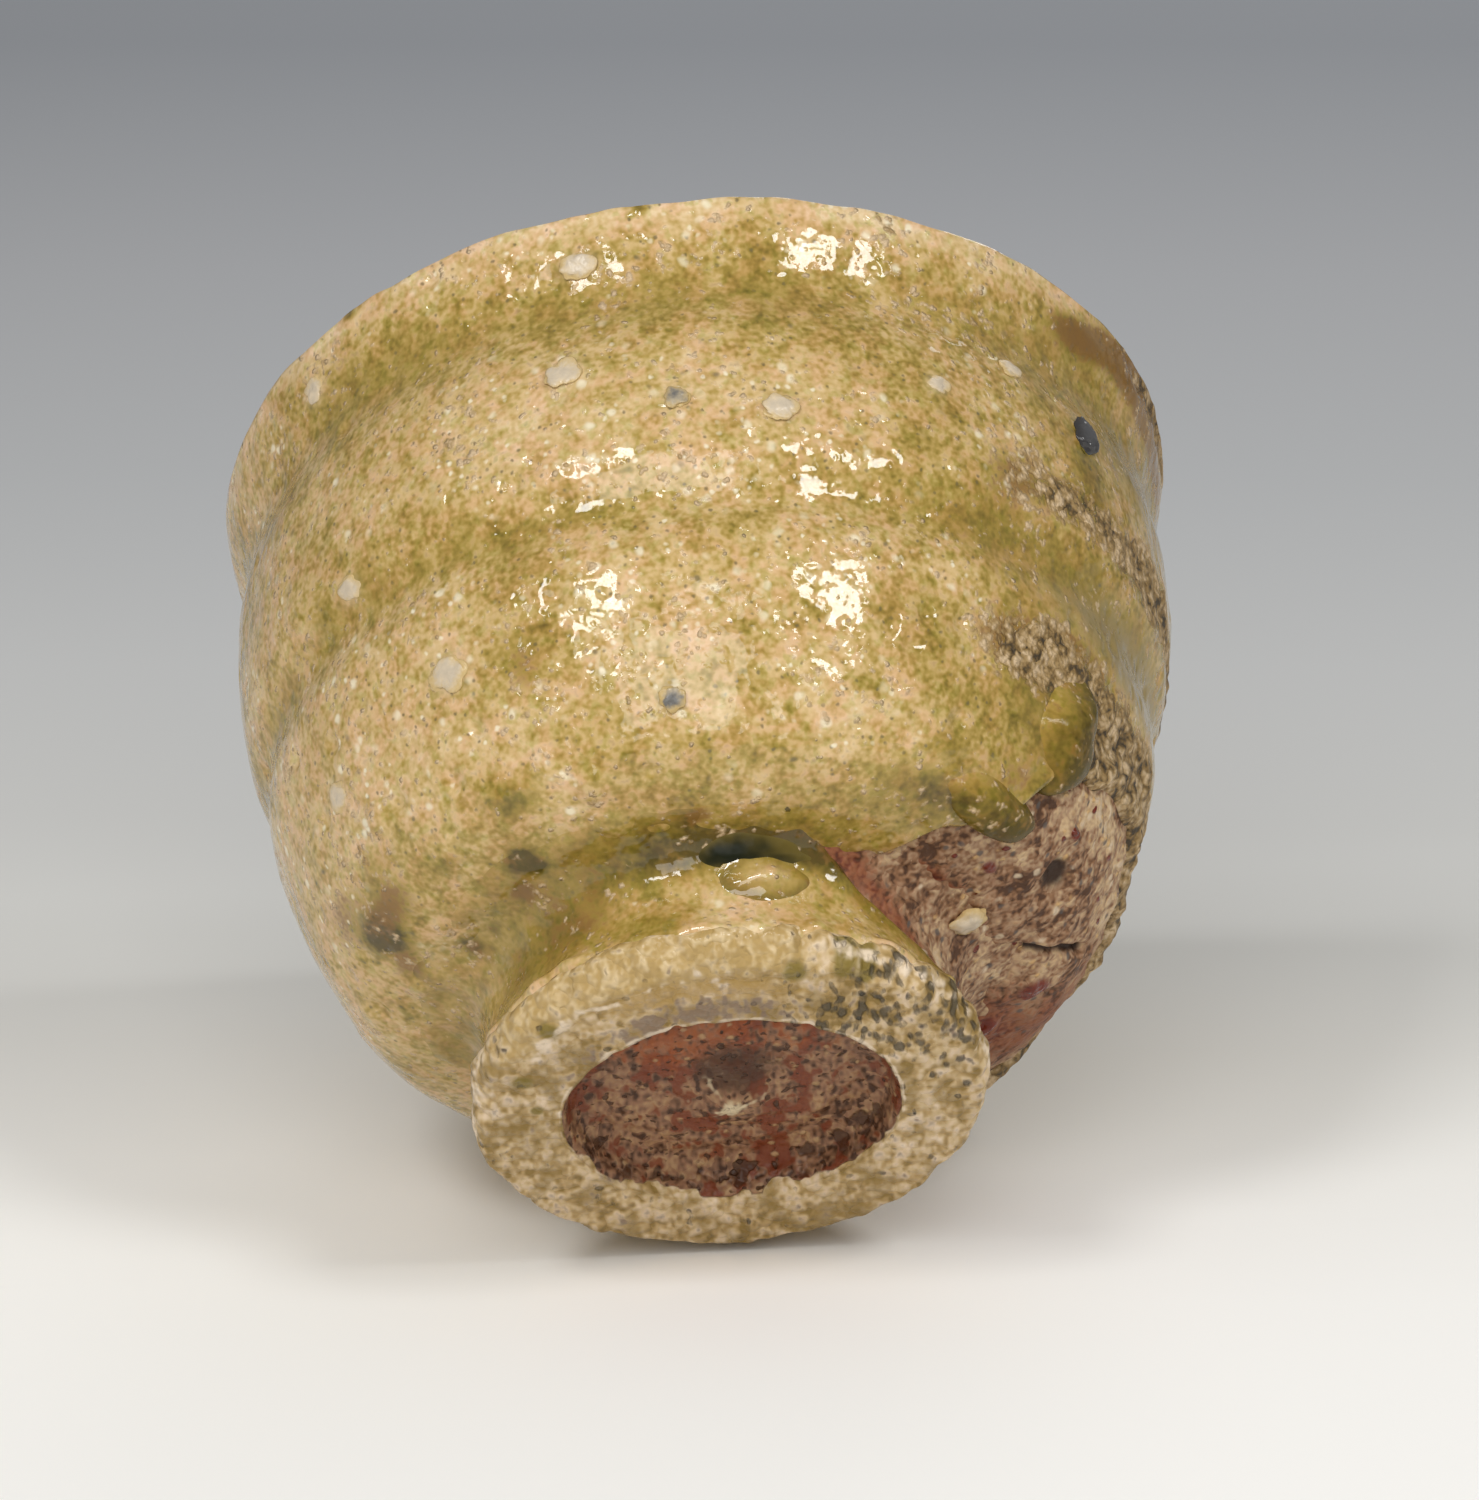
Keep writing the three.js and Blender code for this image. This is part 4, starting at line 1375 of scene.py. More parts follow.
@dataclass
class Foot:
    """The foot: its clay with the recess, its coat, the pool in the joint and the glass bead."""

    shape: CupShape
    columns: int = 520
    side_rows: int = 176
    mouth_search: int = 90
    coat_columns: int = 560
    coat_rows: int = 60
    back_step: int = 5
    coat_thick: float = 0.45
    coat_sink: float = 1.6
    coat_radius: float = 16.0
    side: Rows = (
        (19.8, 10.5), (18.6, 9.65), (17.2, 8.95), (16.1, 8.1), (15.5, 7.0), (15.3, 5.9), (15.84, 3.06),
        (16.5, 1.55), (16.25, 0.65), (15.3, 0.12), (13.4, 0.0), (11.2, 0.03), (10.75, 0.2), (9.75, 2.0),
        (9.3, 2.2), (6.0, 2.2), (3.2, 2.2), (2.4, 2.1), (1.2, 1.75), (0.2, 1.62),
    )
    edge_height: float = 1.5
    rest_offset: float = 0.9
    recess_radius: float = 10.75
    recess_depth: float = 2.2
    recess_oval: float = 0.5
    recess_offset: float = 1.1
    pip_offset: float = 2.2
    coat_face: Rows = (
        (16.75, 1.4), (16.35, 3.0), (15.8, 5.6), (16.15, 7.2), (17.0, 8.2), (18.3, 8.8), (19.6, 9.15),
        (20.8, 9.75),
    )
    bare_start: tuple[float, float] = (-10.0, -7.4)
    bare_end: tuple[float, float] = (26.0, 4.0)
    pool: tuple[float, float] = (-80.0, 7.8)
    pool_half: tuple[float, float] = (4.8, 1.5)
    bead: tuple[float, float] = (-77.5, 6.4)
    bead_half: tuple[float, float] = (3.2, 1.9)
    moss_spots: Rows = (
        (-71.8, 15.3, 0.85), (-159, 14.3, 0.7), (-137, 15.3, 0.8), (-61, 16.2, 0.8), (-55, 16.2, 0.7),
        (-172, 12.8, 0.5),
    )
    olive_bells: Rows = (
        (0.8, -132, 20, 5.5, 2.2), (0.8, -98, 22, 8.2, 1.1), (-0.6, -84, 12, 3.4, 2.0),
        (0.5, -104, 9, 3.0, 1.6),
    )
    stains: Rows = (
        (-128, 9.35, 0.9, 2.6, 0.0), (-126, 9.1, 0.6, 2.0, 0.0), (-133.2, 8.9, 0.75, 1.0, 1.6),
        (-154.5, 8.85, 0.7, 1.6, 1.2), (-92.5, 9.05, 0.6, 1.0, 1.4), (-147, 8.8, 0.5, 1.2, 1.0),
        (-167, 9.7, 1.1, 1.2, 1.2),
    )

    def coat_ends(self, height: Array) -> tuple[Array, Array]:
        """Azimuths of the coat's two ends, which slant back the higher they are.

        Args:
            height: Heights on the foot.

        Returns:
            The first end, and the second past a full turn.
        """
        above = height - self.edge_height
        first = self.bare_end[0] + self.bare_end[1] * above
        return first, 360 + self.bare_start[0] + self.bare_start[1] * above

    def far_side(self, azimuth: Array) -> Array:
        """A wide bell round the foot's far side, where its crust lies calmer."""
        return lobe(azimuth, 90, 75)

    def placed(self, azimuth: Array, radius: Array, height: Array) -> Array:
        """Points of the foot, with its worn rest, its recess and its pip moved towards +Y.

        Below the edge the ring moves more the lower it is; the recess is a circle stretched along X,
        and the pip's own move fades out by an ease of the radius.

        Args:
            azimuth: Azimuths in degrees.
            radius: Distances from the axis.
            height: Heights.

        Returns:
            The points.
        """
        points = self.shape.place(azimuth, radius, height)
        in_recess = fall(radius, self.recess_radius - 0.1, self.recess_radius + 1.6)
        worn = self.rest_offset * np.clip(1 - height / self.edge_height, 0, 1) * (1 - in_recess)
        oval = self.recess_oval / self.recess_radius * in_recess
        around = np.radians(azimuth)
        points[..., 0] += oval * radius * np.cos(around)
        middle = self.pip_offset * fall(radius, 1.0, 9.0) * (height < self.recess_depth + 1)
        points[..., 1] += worn + self.recess_offset * in_recess + middle - oval * radius * np.sin(around)
        return points

    def zones(self, line: Array, first: int, mouth: int) -> FootZones:
        """Works out the zones of the foot's face by bells and eases of azimuth, radius, height and noise.

        Args:
            line: Radius and height of each row.
            first: Number of the side's first row.
            mouth: Number of the row at the mouth of the recess.

        Returns:
            The zones.
        """
        azimuth = np.linspace(-180, 180, self.columns, endpoint=False)[None, :]
        radius, height = line[:, :1], np.maximum(line[:, 1:], 0.0)
        step = np.arange(len(line))[:, None]
        flat = self.shape.place(azimuth, radius, height)
        outside = (step > first) * (step < mouth)
        ring = outside * fall(height, 1.6, 3.0)
        back_wall = between(turn(azimuth, 90), -85, -50, 50, 85)
        front_edge = between(turn(azimuth, -105), -58, -38, 30, 46)
        far = self.far_side(azimuth)
        tongues = back_wall * np.clip(1.8 + 6.5 * rough(flat, 1.6, 154), 0, 9)
        bare = ease(step - tongues, mouth - 1.5, mouth + 1.5)
        right = lobe(azimuth, -38, 30)
        gritty = ring * np.clip(1.3 * right + 0.25 * rough(flat, 3.0, 149) - 0.1, 0, 1)
        apron = ring * front_edge * ease(radius + 0.5 * lumps(flat, 1.6, 156), 14.6, 15.5)
        calm = (1 - 0.7 * far) * (1 - 0.6 * apron)
        knob, chance = craters(flat, 1.7, 145)
        domes = fall(knob, 0.0, 0.85) * (chance > 0.3)
        relief = 0.45 * rough(flat, 2.4, 143, 2) + 0.42 * domes
        relief = relief + (0.10 + 0.08 * gritty) * lumps(flat, 0.7, 155) - 0.1
        streaks = lumps(round_points(azimuth, 3) + radius[..., None] * [0, 0, 0.25], 0.9, 147)
        return FootZones(
            azimuth, radius, height, flat, outside, ring, back_wall, front_edge, far, bare,
            gritty, apron, calm, relief, streaks,
        )

    def spots(self, zones: FootZones) -> Array:
        """Moss spots on the ring as bells, and dark stains in the recess as bells and noise.

        Args:
            zones: The foot's zones.

        Returns:
            The spots' strength at each point.
        """
        spot = np.zeros_like(zones.bare)
        for turned, radius, half in self.moss_spots:
            away = np.linalg.norm((zones.flat - self.shape.place(turned, radius, 0.0))[..., :2], axis=-1)
            spot = spot + bell(away, 0, half) * zones.outside * (zones.height < 2.0)
        stained = np.clip(0.1 + 2.4 * rough(zones.flat, 1.1, 152), 0, 1.3)
        spot = spot + zones.bare * zones.back_wall * bell(zones.radius, 9.8, 0.6) * stained
        return spot + zones.bare * 0.9 * lobe(zones.azimuth, -85, 40) * bell(zones.radius, 3.4, 1.9)

    def clay_traits(self, zones: FootZones) -> dict[str, Array]:
        """Where the foot's face has its broken white ridge, dusk, grit, spots, pip, glow and bare side.

        Args:
            zones: The foot's zones.

        Returns:
            One array for each trait.
        """
        azimuth, radius, height, flat = zones.azimuth, zones.radius, zones.height, zones.flat
        broken = 0.75 + 0.35 * rough(flat, 2.4, 153)
        inner_crest = bell(radius + 0.8 * lumps(flat, 1.3, 157), 15.0, 0.8) * (height < 0.9)
        crest = (1 - zones.front_edge) * bell(height, 1.15, 0.5) + 1.15 * zones.front_edge * inner_crest
        mouth_edge = 0.8 * bell(radius, 11.0, 0.24) * (height < 0.5) * (1 - zones.back_wall)
        ridge = zones.outside * (broken * crest + mouth_edge)
        dusk = zones.outside * lobe(azimuth, -105, 38) * bell(radius, 11.6, 1.0) * (height < 0.4)
        dusk = dusk * (0.8 + 0.5 * rough(flat, 2.0, 151))
        amber = zones.outside * lobe(azimuth, -96, 36) * bell(radius, 13.9, 1.9) * (height < 2.0)
        ember = zones.bare * ease(-flat[..., 1], 2.0, 5.2) * (0.75 + 0.35 * ease(-flat[..., 0], -3, 4))
        rays = np.maximum(0, zones.streaks) * bell(radius, 1.8, 1.6)
        pip = zones.bare * (0.9 * bell(radius, 0.0, 0.9) + 0.8 * rays)
        first, last = self.coat_ends(height)
        past = turn(azimuth, 0) - (last - 360)
        naked = ease(past, -10, -3) * fall(turn(azimuth, 0) - first, 3, 10)
        scraped = zones.outside * ease(height, 1.7, 2.5) * naked
        rust = 0.75 * bell(past, 3, 9) * ease(height, 2.0, 3.2)
        relief = zones.ring * (zones.relief * (0.4 + 0.6 * zones.calm) - 0.14 * zones.far)
        traits = {"bare": zones.bare, "ridge": ridge, "dusk": dusk, "grit": zones.gritty}
        traits |= {"spot": self.spots(zones), "pip": pip, "relief": relief, "side": scraped}
        traits |= {"rust": rust, "amber": amber, "ember": ember, "apron": zones.apron}
        return {name: values * np.ones_like(zones.bare) for name, values in traits.items()}

    def clay(self) -> Surface:
        """The foot's clay from the middle of its top, down the side, over the ring into the recess.

        The side line is carried round the axis. Its edge waves up and down, the ring is dented
        inwards by a crust of lumps, calmer on the far side and under the glaze apron on its front
        edge, and streaks run out from the pip in the recess.

        Returns:
            The closed surface, with the foot's traits.
        """
        side = smooth_line(np.array(self.side), self.side_rows)
        top = np.stack([np.linspace(0.5, self.side[0][0] - 0.05, 5), np.full(5, self.side[0][1])], axis=1)
        line = np.concatenate([top, side])
        normal = Profile.through(line).normal
        from_mouth = np.abs(side[self.mouth_search:, 0] - self.recess_radius)
        zones = self.zones(line, len(top), len(top) + self.mouth_search + from_mouth.argmin())
        radius, height, flat = zones.radius, zones.height, zones.flat
        level = flat * [1, 1, 0]
        wave = 0.26 * lumps(level, 4.2, 141) + 0.12 * lumps(level, 1.5, 142)
        lift = -zones.ring * zones.calm * np.maximum(0.5 - 1.2 * zones.relief, 0)
        seen = 0.1 + 0.9 * lobe(zones.azimuth, -85, 62)
        nibs = 0.75 * seen * np.maximum(0, lumps(flat * [1, 1, 0.2], 1.4, 146))
        lift = lift + zones.ring * bell(height, 1.2, 0.7) * nibs
        scales = 0.16 * rough(flat, 1.8, 148, 3) + 0.12 * zones.streaks * bell(radius, 3.0, 2.2)
        crumb, _ = craters(flat, 1.2, 144)
        crumbs = 0.22 * rough(flat, 2.4, 121, 3) + 0.25 * (0.6 - crumb)
        lift = lift + zones.bare * scales + zones.outside * ease(height, 1.9, 2.8) * crumbs
        waved = zones.ring * zones.calm * wave * bell(height, 1.4, 0.7)
        moved_height = np.maximum(height + normal[:, 1:] * lift + waved, 0.0)
        points = self.placed(zones.azimuth, radius + normal[:, :1] * lift, moved_height)
        return Surface(points, self.clay_traits(zones))

    def coat_line(self) -> Profile:
        """The coat's face from its low edge up the foot, curving out to lie against the bowl."""
        return Profile.through(smooth_line(np.array(self.coat_face), 400))

    def side_coat(self) -> Surface:
        """The coat on the foot's side: a closed section carried round it, sunk in the clay at the bare part.

        The section runs down the coat's face, which swells by noise and opens in a crevice at the
        pool, and back up inside the clay.

        Returns:
            The closed surface, with the glaze's traits.
        """
        line, wall, shape = self.coat_line(), self.shape.outer(), self.shape
        share = np.linspace(0, 1, self.coat_rows)[None, :]
        first, last = self.coat_ends(line.at(line.total * (1 - share))[1])
        azimuth = first + np.linspace(0, 1, self.coat_columns)[:, None] * (last - first)
        circle = shape.place(azimuth, self.coat_radius, 0.0)
        low = 0.35 + 0.35 * lumps(circle, 4.2, 141) + 0.25 * lumps(circle, 1.3, 161)
        place = line.total + share * (low - line.total)
        radius, height, out, rise = line.at(place)
        points = shape.place(azimuth, radius, height)
        window = between(azimuth, first, first + 8, last - 8, last)
        edge = np.sqrt(np.clip(1 - (1 - np.clip((place - low) / 0.9, 0, 1)) ** 2, 0, 1))
        swell = 0.22 * rough(points, 4.0, 162, 2) + 0.08 * lumps(points, 1.4, 164)
        beaded = bell(place - low, 0.6, 0.6) * np.maximum(0, 0.25 + 0.5 * lumps(circle, 1.2, 163))
        beaded = (1 - 0.7 * self.far_side(azimuth)) * beaded
        crevice = lobe(azimuth, -79, 18) * bell(height, 8.3, 1.1)
        lift = (self.coat_thick + swell + 0.7 * beaded) * edge * window
        lift = lift - self.coat_thick - 0.9 * (1 - window) - 0.5 * crevice
        face = shape.place(azimuth, radius + out * lift, height + rise * lift)
        back_radius, back_height, out, rise = line.at(place[:, ::-self.back_step])
        back_turn, sink = azimuth[:, ::-self.back_step], self.coat_sink
        back = shape.place(back_turn, back_radius - out * sink, back_height - rise * sink)
        patchy, drift = rough(points, 2.6, 165), rough(points, 6.0, 166)
        # The crevice's strong olive darkens the joint: partly pooled glaze, partly painted shade.
        olive = 0.4 + 0.5 * patchy + 0.3 * drift + 0.3 * bell(height, 7.6, 1.2) + 1.8 * crevice
        for strength, turned, wide, tall, half in self.olive_bells:
            olive = olive + strength * lobe(azimuth, turned, wide) * bell(height, tall, half)
        olive = olive + 0.9 * ease(azimuth, last - 22, last - 4)
        pale = 1.3 * fall(height, 1.4, 2.6) + 0.3 * patchy
        pale = pale + 0.4 * lobe(azimuth, -84, 14) + 0.8 * beaded
        rust = 0.35 * ease(patchy, 0.1, 0.6) + 0.6 * ease(azimuth, last - 14, last - 3)
        rust = rust + 0.6 * lobe(azimuth, -128, 12) * bell(height, 6.0, 2.2)
        for turned, tall, half, green, red in self.stains:
            middle = shape.place(turned, wall.at(wall.place_at_height(tall))[0], tall)
            stain = bell(np.linalg.norm(points - middle, axis=-1), 0, half)
            olive, rust = olive + green * stain, rust + red * stain
        traits = carried(glaze_traits(olive, rust, pale), -1, back.shape[1], axis=1)
        return Surface(np.concatenate([face, back], axis=1), traits, ring=True)

    def build(self) -> None:
        """Adds the foot's clay, its coat, the pool and the bead."""
        clay = FootClay("foot_clay", ScarClay("side_clay"))
        add_piece("foot", self.clay(), Slot.FOOT_CLAY, clay.material())
        coat = AshGlaze("foot_ash_glaze", stir=0.75)
        add_piece("foot_glaze", self.side_coat(), Slot.FOOT_GLAZE, coat.material())
        line = self.coat_line()
        pool_place, bead_place = (float(line.place_at_height(tall)) for _, tall in (self.pool, self.bead))
        # The pool's near-black heart, darkest towards its left, is partly dark green glass and partly painted
        # shade in the joint's undercut.
        looks = {"dark_left": 0.8, "sink": 0.55}
        pool = Flow(self.pool[0], pool_place, self.pool_half, 0.1, -90.0, 172, (2.0, 3.0), **looks)
        dark = MeltedGlass("pool_glass", (0.13, 0.095, 0.022), (0.010, 0.012, 0.004), gloss=0.3, sheen=0.12)
        add_piece("joint_pool", pool.surface(self.shape, line), Slot.POOL, dark.material())
        # The bead's pale middle is partly its cream core and partly a painted highlight.
        looks = {"pale_core_and_highlight": 0.8, "edge_olive_and_shade": 0.0, "rim_olive": 0.8, "sink": 0.15, "ripple": 0.2}
        bead = Flow(self.bead[0], bead_place, self.bead_half, 0.7, -90.0, 171, (2.0, 3.0), **looks)
        glass = AshGlaze("bead_glass", gloss=0.02, stir=0.4, sheen=0.8)
        add_piece("foot_glass_bead", bead.surface(self.shape, line), Slot.BEAD, glass.material())


@dataclass(frozen=True)
class Flow:
    """A thick tongue of glaze on a turned line, round at its leading side and thinning out behind."""

    azimuth: float
    place: float
    half: tuple[float, float]
    thick: float
    lead: float
    seed: int
    front: tuple[float, float] = (-0.5, 0.7)
    # Pale middle: partly a cream core, partly a painted highlight.
    pale_core_and_highlight: float = 0.0
    edge_olive_and_shade: float = 1.2
    base_olive: float = 0.45
    rim_olive: float = 0.0
    dark_left: float = 0.0
    crown: float = 2.0
    sink: float = 0.6
    depth: float = 0.6
    ripple: float = 0.0
    rust: float = 0.25
    rows: int = 34
    columns: int = 84
    back_step: int = 3

    def points(self, shape: CupShape, line: Profile, across: Array, along: Array, lift: Array) -> Array:
        """Points at distances across and along the wall from the middle, lifted along its normals.

        Args:
            shape: The cup.
            line: The turned line.
            across: Distances round the wall.
            along: Distances along the line.
            lift: Heights above the line.

        Returns:
            The points.
        """
        radius, height, out, rise = line.at(self.place + along)
        around = np.radians(self.azimuth + np.degrees(across / radius))
        x = (radius + out * lift) * np.cos(around) + shape.lean * (height / shape.height - 1)
        return np.stack([x, (radius + out * lift) * np.sin(around), height + rise * lift], axis=-1)

    def surface(self, shape: CupShape, line: Profile) -> Surface:
        """An oval whose thickness is a root of 1 less the squared way out ahead, and its square behind.

        Noise waves its outline and, by the ripple, its face.

        Args:
            shape: The cup.
            line: The turned line that it lies on.

        Returns:
            The closed surface, with the glaze's traits.
        """
        share = np.linspace(0.03, 1, self.rows)[:, None]
        around = np.linspace(0, 2 * math.pi, self.columns, endpoint=False)[None, :]
        ahead = np.cos(around - math.radians(self.lead))
        front = ease(ahead, *self.front)
        circle = np.stack([np.cos(around), np.sin(around), 0 * around + self.seed], axis=-1)
        reach = share * (1 + 0.16 * lumps(circle, 0.7, self.seed))
        across, along = self.half[0] * reach * np.cos(around), self.half[1] * reach * np.sin(around)
        hump = front * np.sqrt(1 - share**2) + (1 - front) * (1 - share**self.crown) ** 2
        lift = self.thick * hump - self.sink * (1 - front) * share**2
        spots = np.stack([across, along, 0 * across + self.seed], axis=-1)
        lift = lift + self.ripple * lumps(spots, 0.9, self.seed) * (1 - share**2)
        face = self.points(shape, line, across, along, lift)
        back_rows = slice(None, None, -self.back_step)
        under = np.minimum(lift[-1:], 0) - self.depth
        back = self.points(shape, line, across[back_rows], along[back_rows], under)
        full = np.ones_like(across)
        olive = self.base_olive * (0.3 + 0.7 * ease(share * ahead, -0.9, 0.1))
        # Olive grows towards the leading rim: thicker glass there, and partly painted shade under the rounded
        # end.
        olive = olive + self.edge_olive_and_shade * ease(share * ahead, -0.2, 1.0)
        olive = olive + self.rim_olive * bell(share, 0.8, 0.2) * full
        # The pale middle is partly the glass's cream core and partly a painted highlight.
        pale = self.pale_core_and_highlight * fall(share, 0.1, 0.55) * full
        core = (1 - share**2) * (1 - self.dark_left * share * np.cos(around))
        traits = glaze_traits(olive, self.rust * full, pale) | {"core": core}
        traits = {name: np.concatenate([values, values[back_rows]]) for name, values in traits.items()}
        return Surface(np.concatenate([face, back]), traits)


@dataclass(frozen=True)
class WallLump:
    """A melted lump or a half-sunk stone on the wall."""

    azimuth: float
    height: float
    radius: float
    half: tuple[float, float, float]
    lean_out: float
    seed: int
    ragged: float = 0.08

    @classmethod
    def on_wall(
        cls,
        shape: CupShape,
        azimuth: float,
        rise: float,
        half: tuple[float, float, float],
        proud: float,
        seed: int,
        ragged: float,
    ) -> "WallLump":
        """Sets a lump on the outer line at a share of the way up, standing along its normal.

        Args:
            shape: The cup.
            azimuth: Azimuth in degrees.
            rise: Share of the way from the joint to the lip.
            half: Half width, half height and half depth.
            proud: How far its middle stands off the line.
            seed: Picks its raggedness.
            ragged: Share by which noise moves its outline.

        Returns:
            The lump.
        """
        outer = shape.outer()
        radius, height, out, up = map(float, outer.at(outer.place_at_height(shape.height_of(rise))))
        lean_out = -up / max(out, 0.2)
        return cls(azimuth, height + up * proud, radius + out * proud, half, lean_out, seed, ragged)

    def surface(self, shape: CupShape, rows: int = 28, columns: int = 48) -> Surface:
        """An oval lump: two half sizes across the wall times the sine of the way from pole to pole,
        and a half depth out of it times its cosine, ragged by noise.

        Args:
            shape: The cup it sits on.
            rows: Rows from the outer pole to the inner one.
            columns: Columns round it.

        Returns:
            The closed surface, with a trait that is 1 in its middle and 0 at its rim.
        """
        away = np.linspace(0, math.pi, rows + 2)[1:-1, None]
        around = np.linspace(0, 2 * math.pi, columns, endpoint=False)[None, :]
        turned = math.radians(self.azimuth)
        outward = np.array([math.cos(turned), math.sin(turned), -self.lean_out])
        outward /= np.linalg.norm(outward)
        across = np.array([-math.sin(turned), math.cos(turned), 0.0])
        axes = np.stack([across, np.cross(outward, across), outward])
        parts = (np.cos(around) * np.sin(away), np.sin(around) * np.sin(away), np.cos(away))
        unit = np.stack(np.broadcast_arrays(*parts), axis=-1)
        swell = 1 + self.ragged * rough(unit * 2.0 + self.seed, 1.3, self.seed, 2)
        centre = shape.place(self.azimuth, self.radius, self.height)
        points = centre + (self.half * swell[..., None] * unit) @ axes
        return Surface(points, {"core": np.clip(unit[..., 2], 0, 1)})


@dataclass
class WallGlass:
    """The two thick olive drops at the scar's edge and the blue black bead."""

    shape: CupShape
    drops: tuple[tuple[str, float, float, tuple[float, float], float, float], ...] = (
        ("glaze_drop_side", -31.0, 0.205, (3.0, 4.2), 1.25, -10.0),
        ("glaze_drop_low", -40.5, 0.06, (4.8, 2.1), 1.0, -40.0),
    )
    bead: tuple[str, float, float, tuple[float, float, float]] = ("dark_bead", -33.2, 0.732, (1.1, 1.35, 0.6))

    def build(self) -> None:
        """Adds each drop and the bead."""
        outer = self.shape.outer()
        glass = AshGlaze("drop_glass", gloss=0.12, stir=0.8, sheen=0.15).material()
        for seed, (node, azimuth, rise, half, thick, lead) in enumerate(self.drops):
            place = float(outer.place_at_height(self.shape.height_of(rise)))
            # The drops' darker leading rims are partly painted shade.
            flow = Flow(azimuth, place, half, thick, lead, 181 + seed, edge_olive_and_shade=0.6, base_olive=1.5)
            add_piece(node, flow.surface(self.shape, outer), Slot.DROP, glass)
        node, azimuth, rise, half = self.bead
        dark = MeltedGlass("dark_glass", (0.035, 0.033, 0.033), (0.075, 0.075, 0.078), gloss=0.12).material()
        lump = WallLump.on_wall(self.shape, azimuth, rise, half, 0.0, 191, 0.35)
        add_piece(node, lump.surface(self.shape), Slot.DARK, dark)


@dataclass
class Stones:
    """The pale feldspar stones that show through the glaze, two of them with a grey blue heart."""

    shape: CupShape
    proud: float = -0.02
    depth: float = 0.24
    bare_proud: float = 0.15
    bare_depth: float = 0.55
    ragged: float = 0.4
    thinned: float = 1.1
    blue: tuple[int, ...] = (7, 8)
    blue_tones: tuple[Colour, ...] = ((0.44, 0.37, 0.26), (0.14, 0.135, 0.125), (0.52, 0.37, 0.15))
    grains: Rows = (
        (-125, 0.261, 1.4, 1.2), (-104, 0.698, 1.3, 1.1), (-101.5, 0.913, 1.2, 0.9),
        (-141.5, 0.92, 1.0, 1.0), (-151, 0.217, 1.1, 0.95), (-78.2, 0.589, 1.2, 1.0),
        (-90.5, 0.614, 0.9, 0.85), (-94, 0.126, 0.85, 0.8), (-45.8, 0.783, 0.9, 0.75),
        (-58, 0.681, 0.85, 0.75), (-138, 0.498, 0.95, 0.9), (-19, 0.004, 1.05, 1.4),
    )

    def patches(self) -> tuple[Patch, ...]:
        """Where the glaze thins over the stones; the last one sits bare in the scar."""
        share, height_of = self.thinned, self.shape.height_of
        return tuple(Patch(a, height_of(r), w * share, h * share) for a, r, w, h in self.grains[:-1])

    def build(self) -> None:
        """Adds each stone."""
        white = Feldspar("feldspar").material()
        inky = Feldspar("feldspar_blue", *self.blue_tones).material()
        for number, (azimuth, rise, width, tall) in enumerate(self.grains, start=1):
            bare = number == len(self.grains)
            depth, proud = (self.bare_depth, self.bare_proud) if bare else (self.depth, self.proud)
            half = (width, tall, depth)
            lump = WallLump.on_wall(self.shape, azimuth, rise, half, proud, 200 + number, self.ragged)
            finish = inky if number in self.blue else white
            add_piece(f"feldspar_grain_{number:02d}", lump.surface(self.shape, 20, 36), Slot.STONE, finish)


# Stage


@dataclass(frozen=True)
class Lamp:
    """A square soft lamp, by its direction from the cup, its distance, its side and its power."""

    name: str
    azimuth: float
    elevation: float
    distance: float
    side: float
    power: float

    def build(self, target: Vector) -> None:
        """Adds the lamp facing the target, hidden from the camera.

        Args:
            target: The point that it lights, in metres.
        """
        data = bpy.data.lights.new(self.name, "AREA")
        data.shape, data.size, data.energy = "SQUARE", self.side, self.power
        lamp = bpy.data.objects.new(self.name, data)
        turned, raised = math.radians(self.azimuth), math.radians(self.elevation)
        level = Vector((math.cos(turned), math.sin(turned), 0.0))
        way = level * math.cos(raised) + Vector((0.0, 0.0, math.sin(raised)))
        lamp.location = target + way * self.distance
        lamp.rotation_euler = way.to_track_quat("Z", "Y").to_euler()
        lamp.visible_camera = False
        bpy.context.scene.collection.objects.link(lamp)


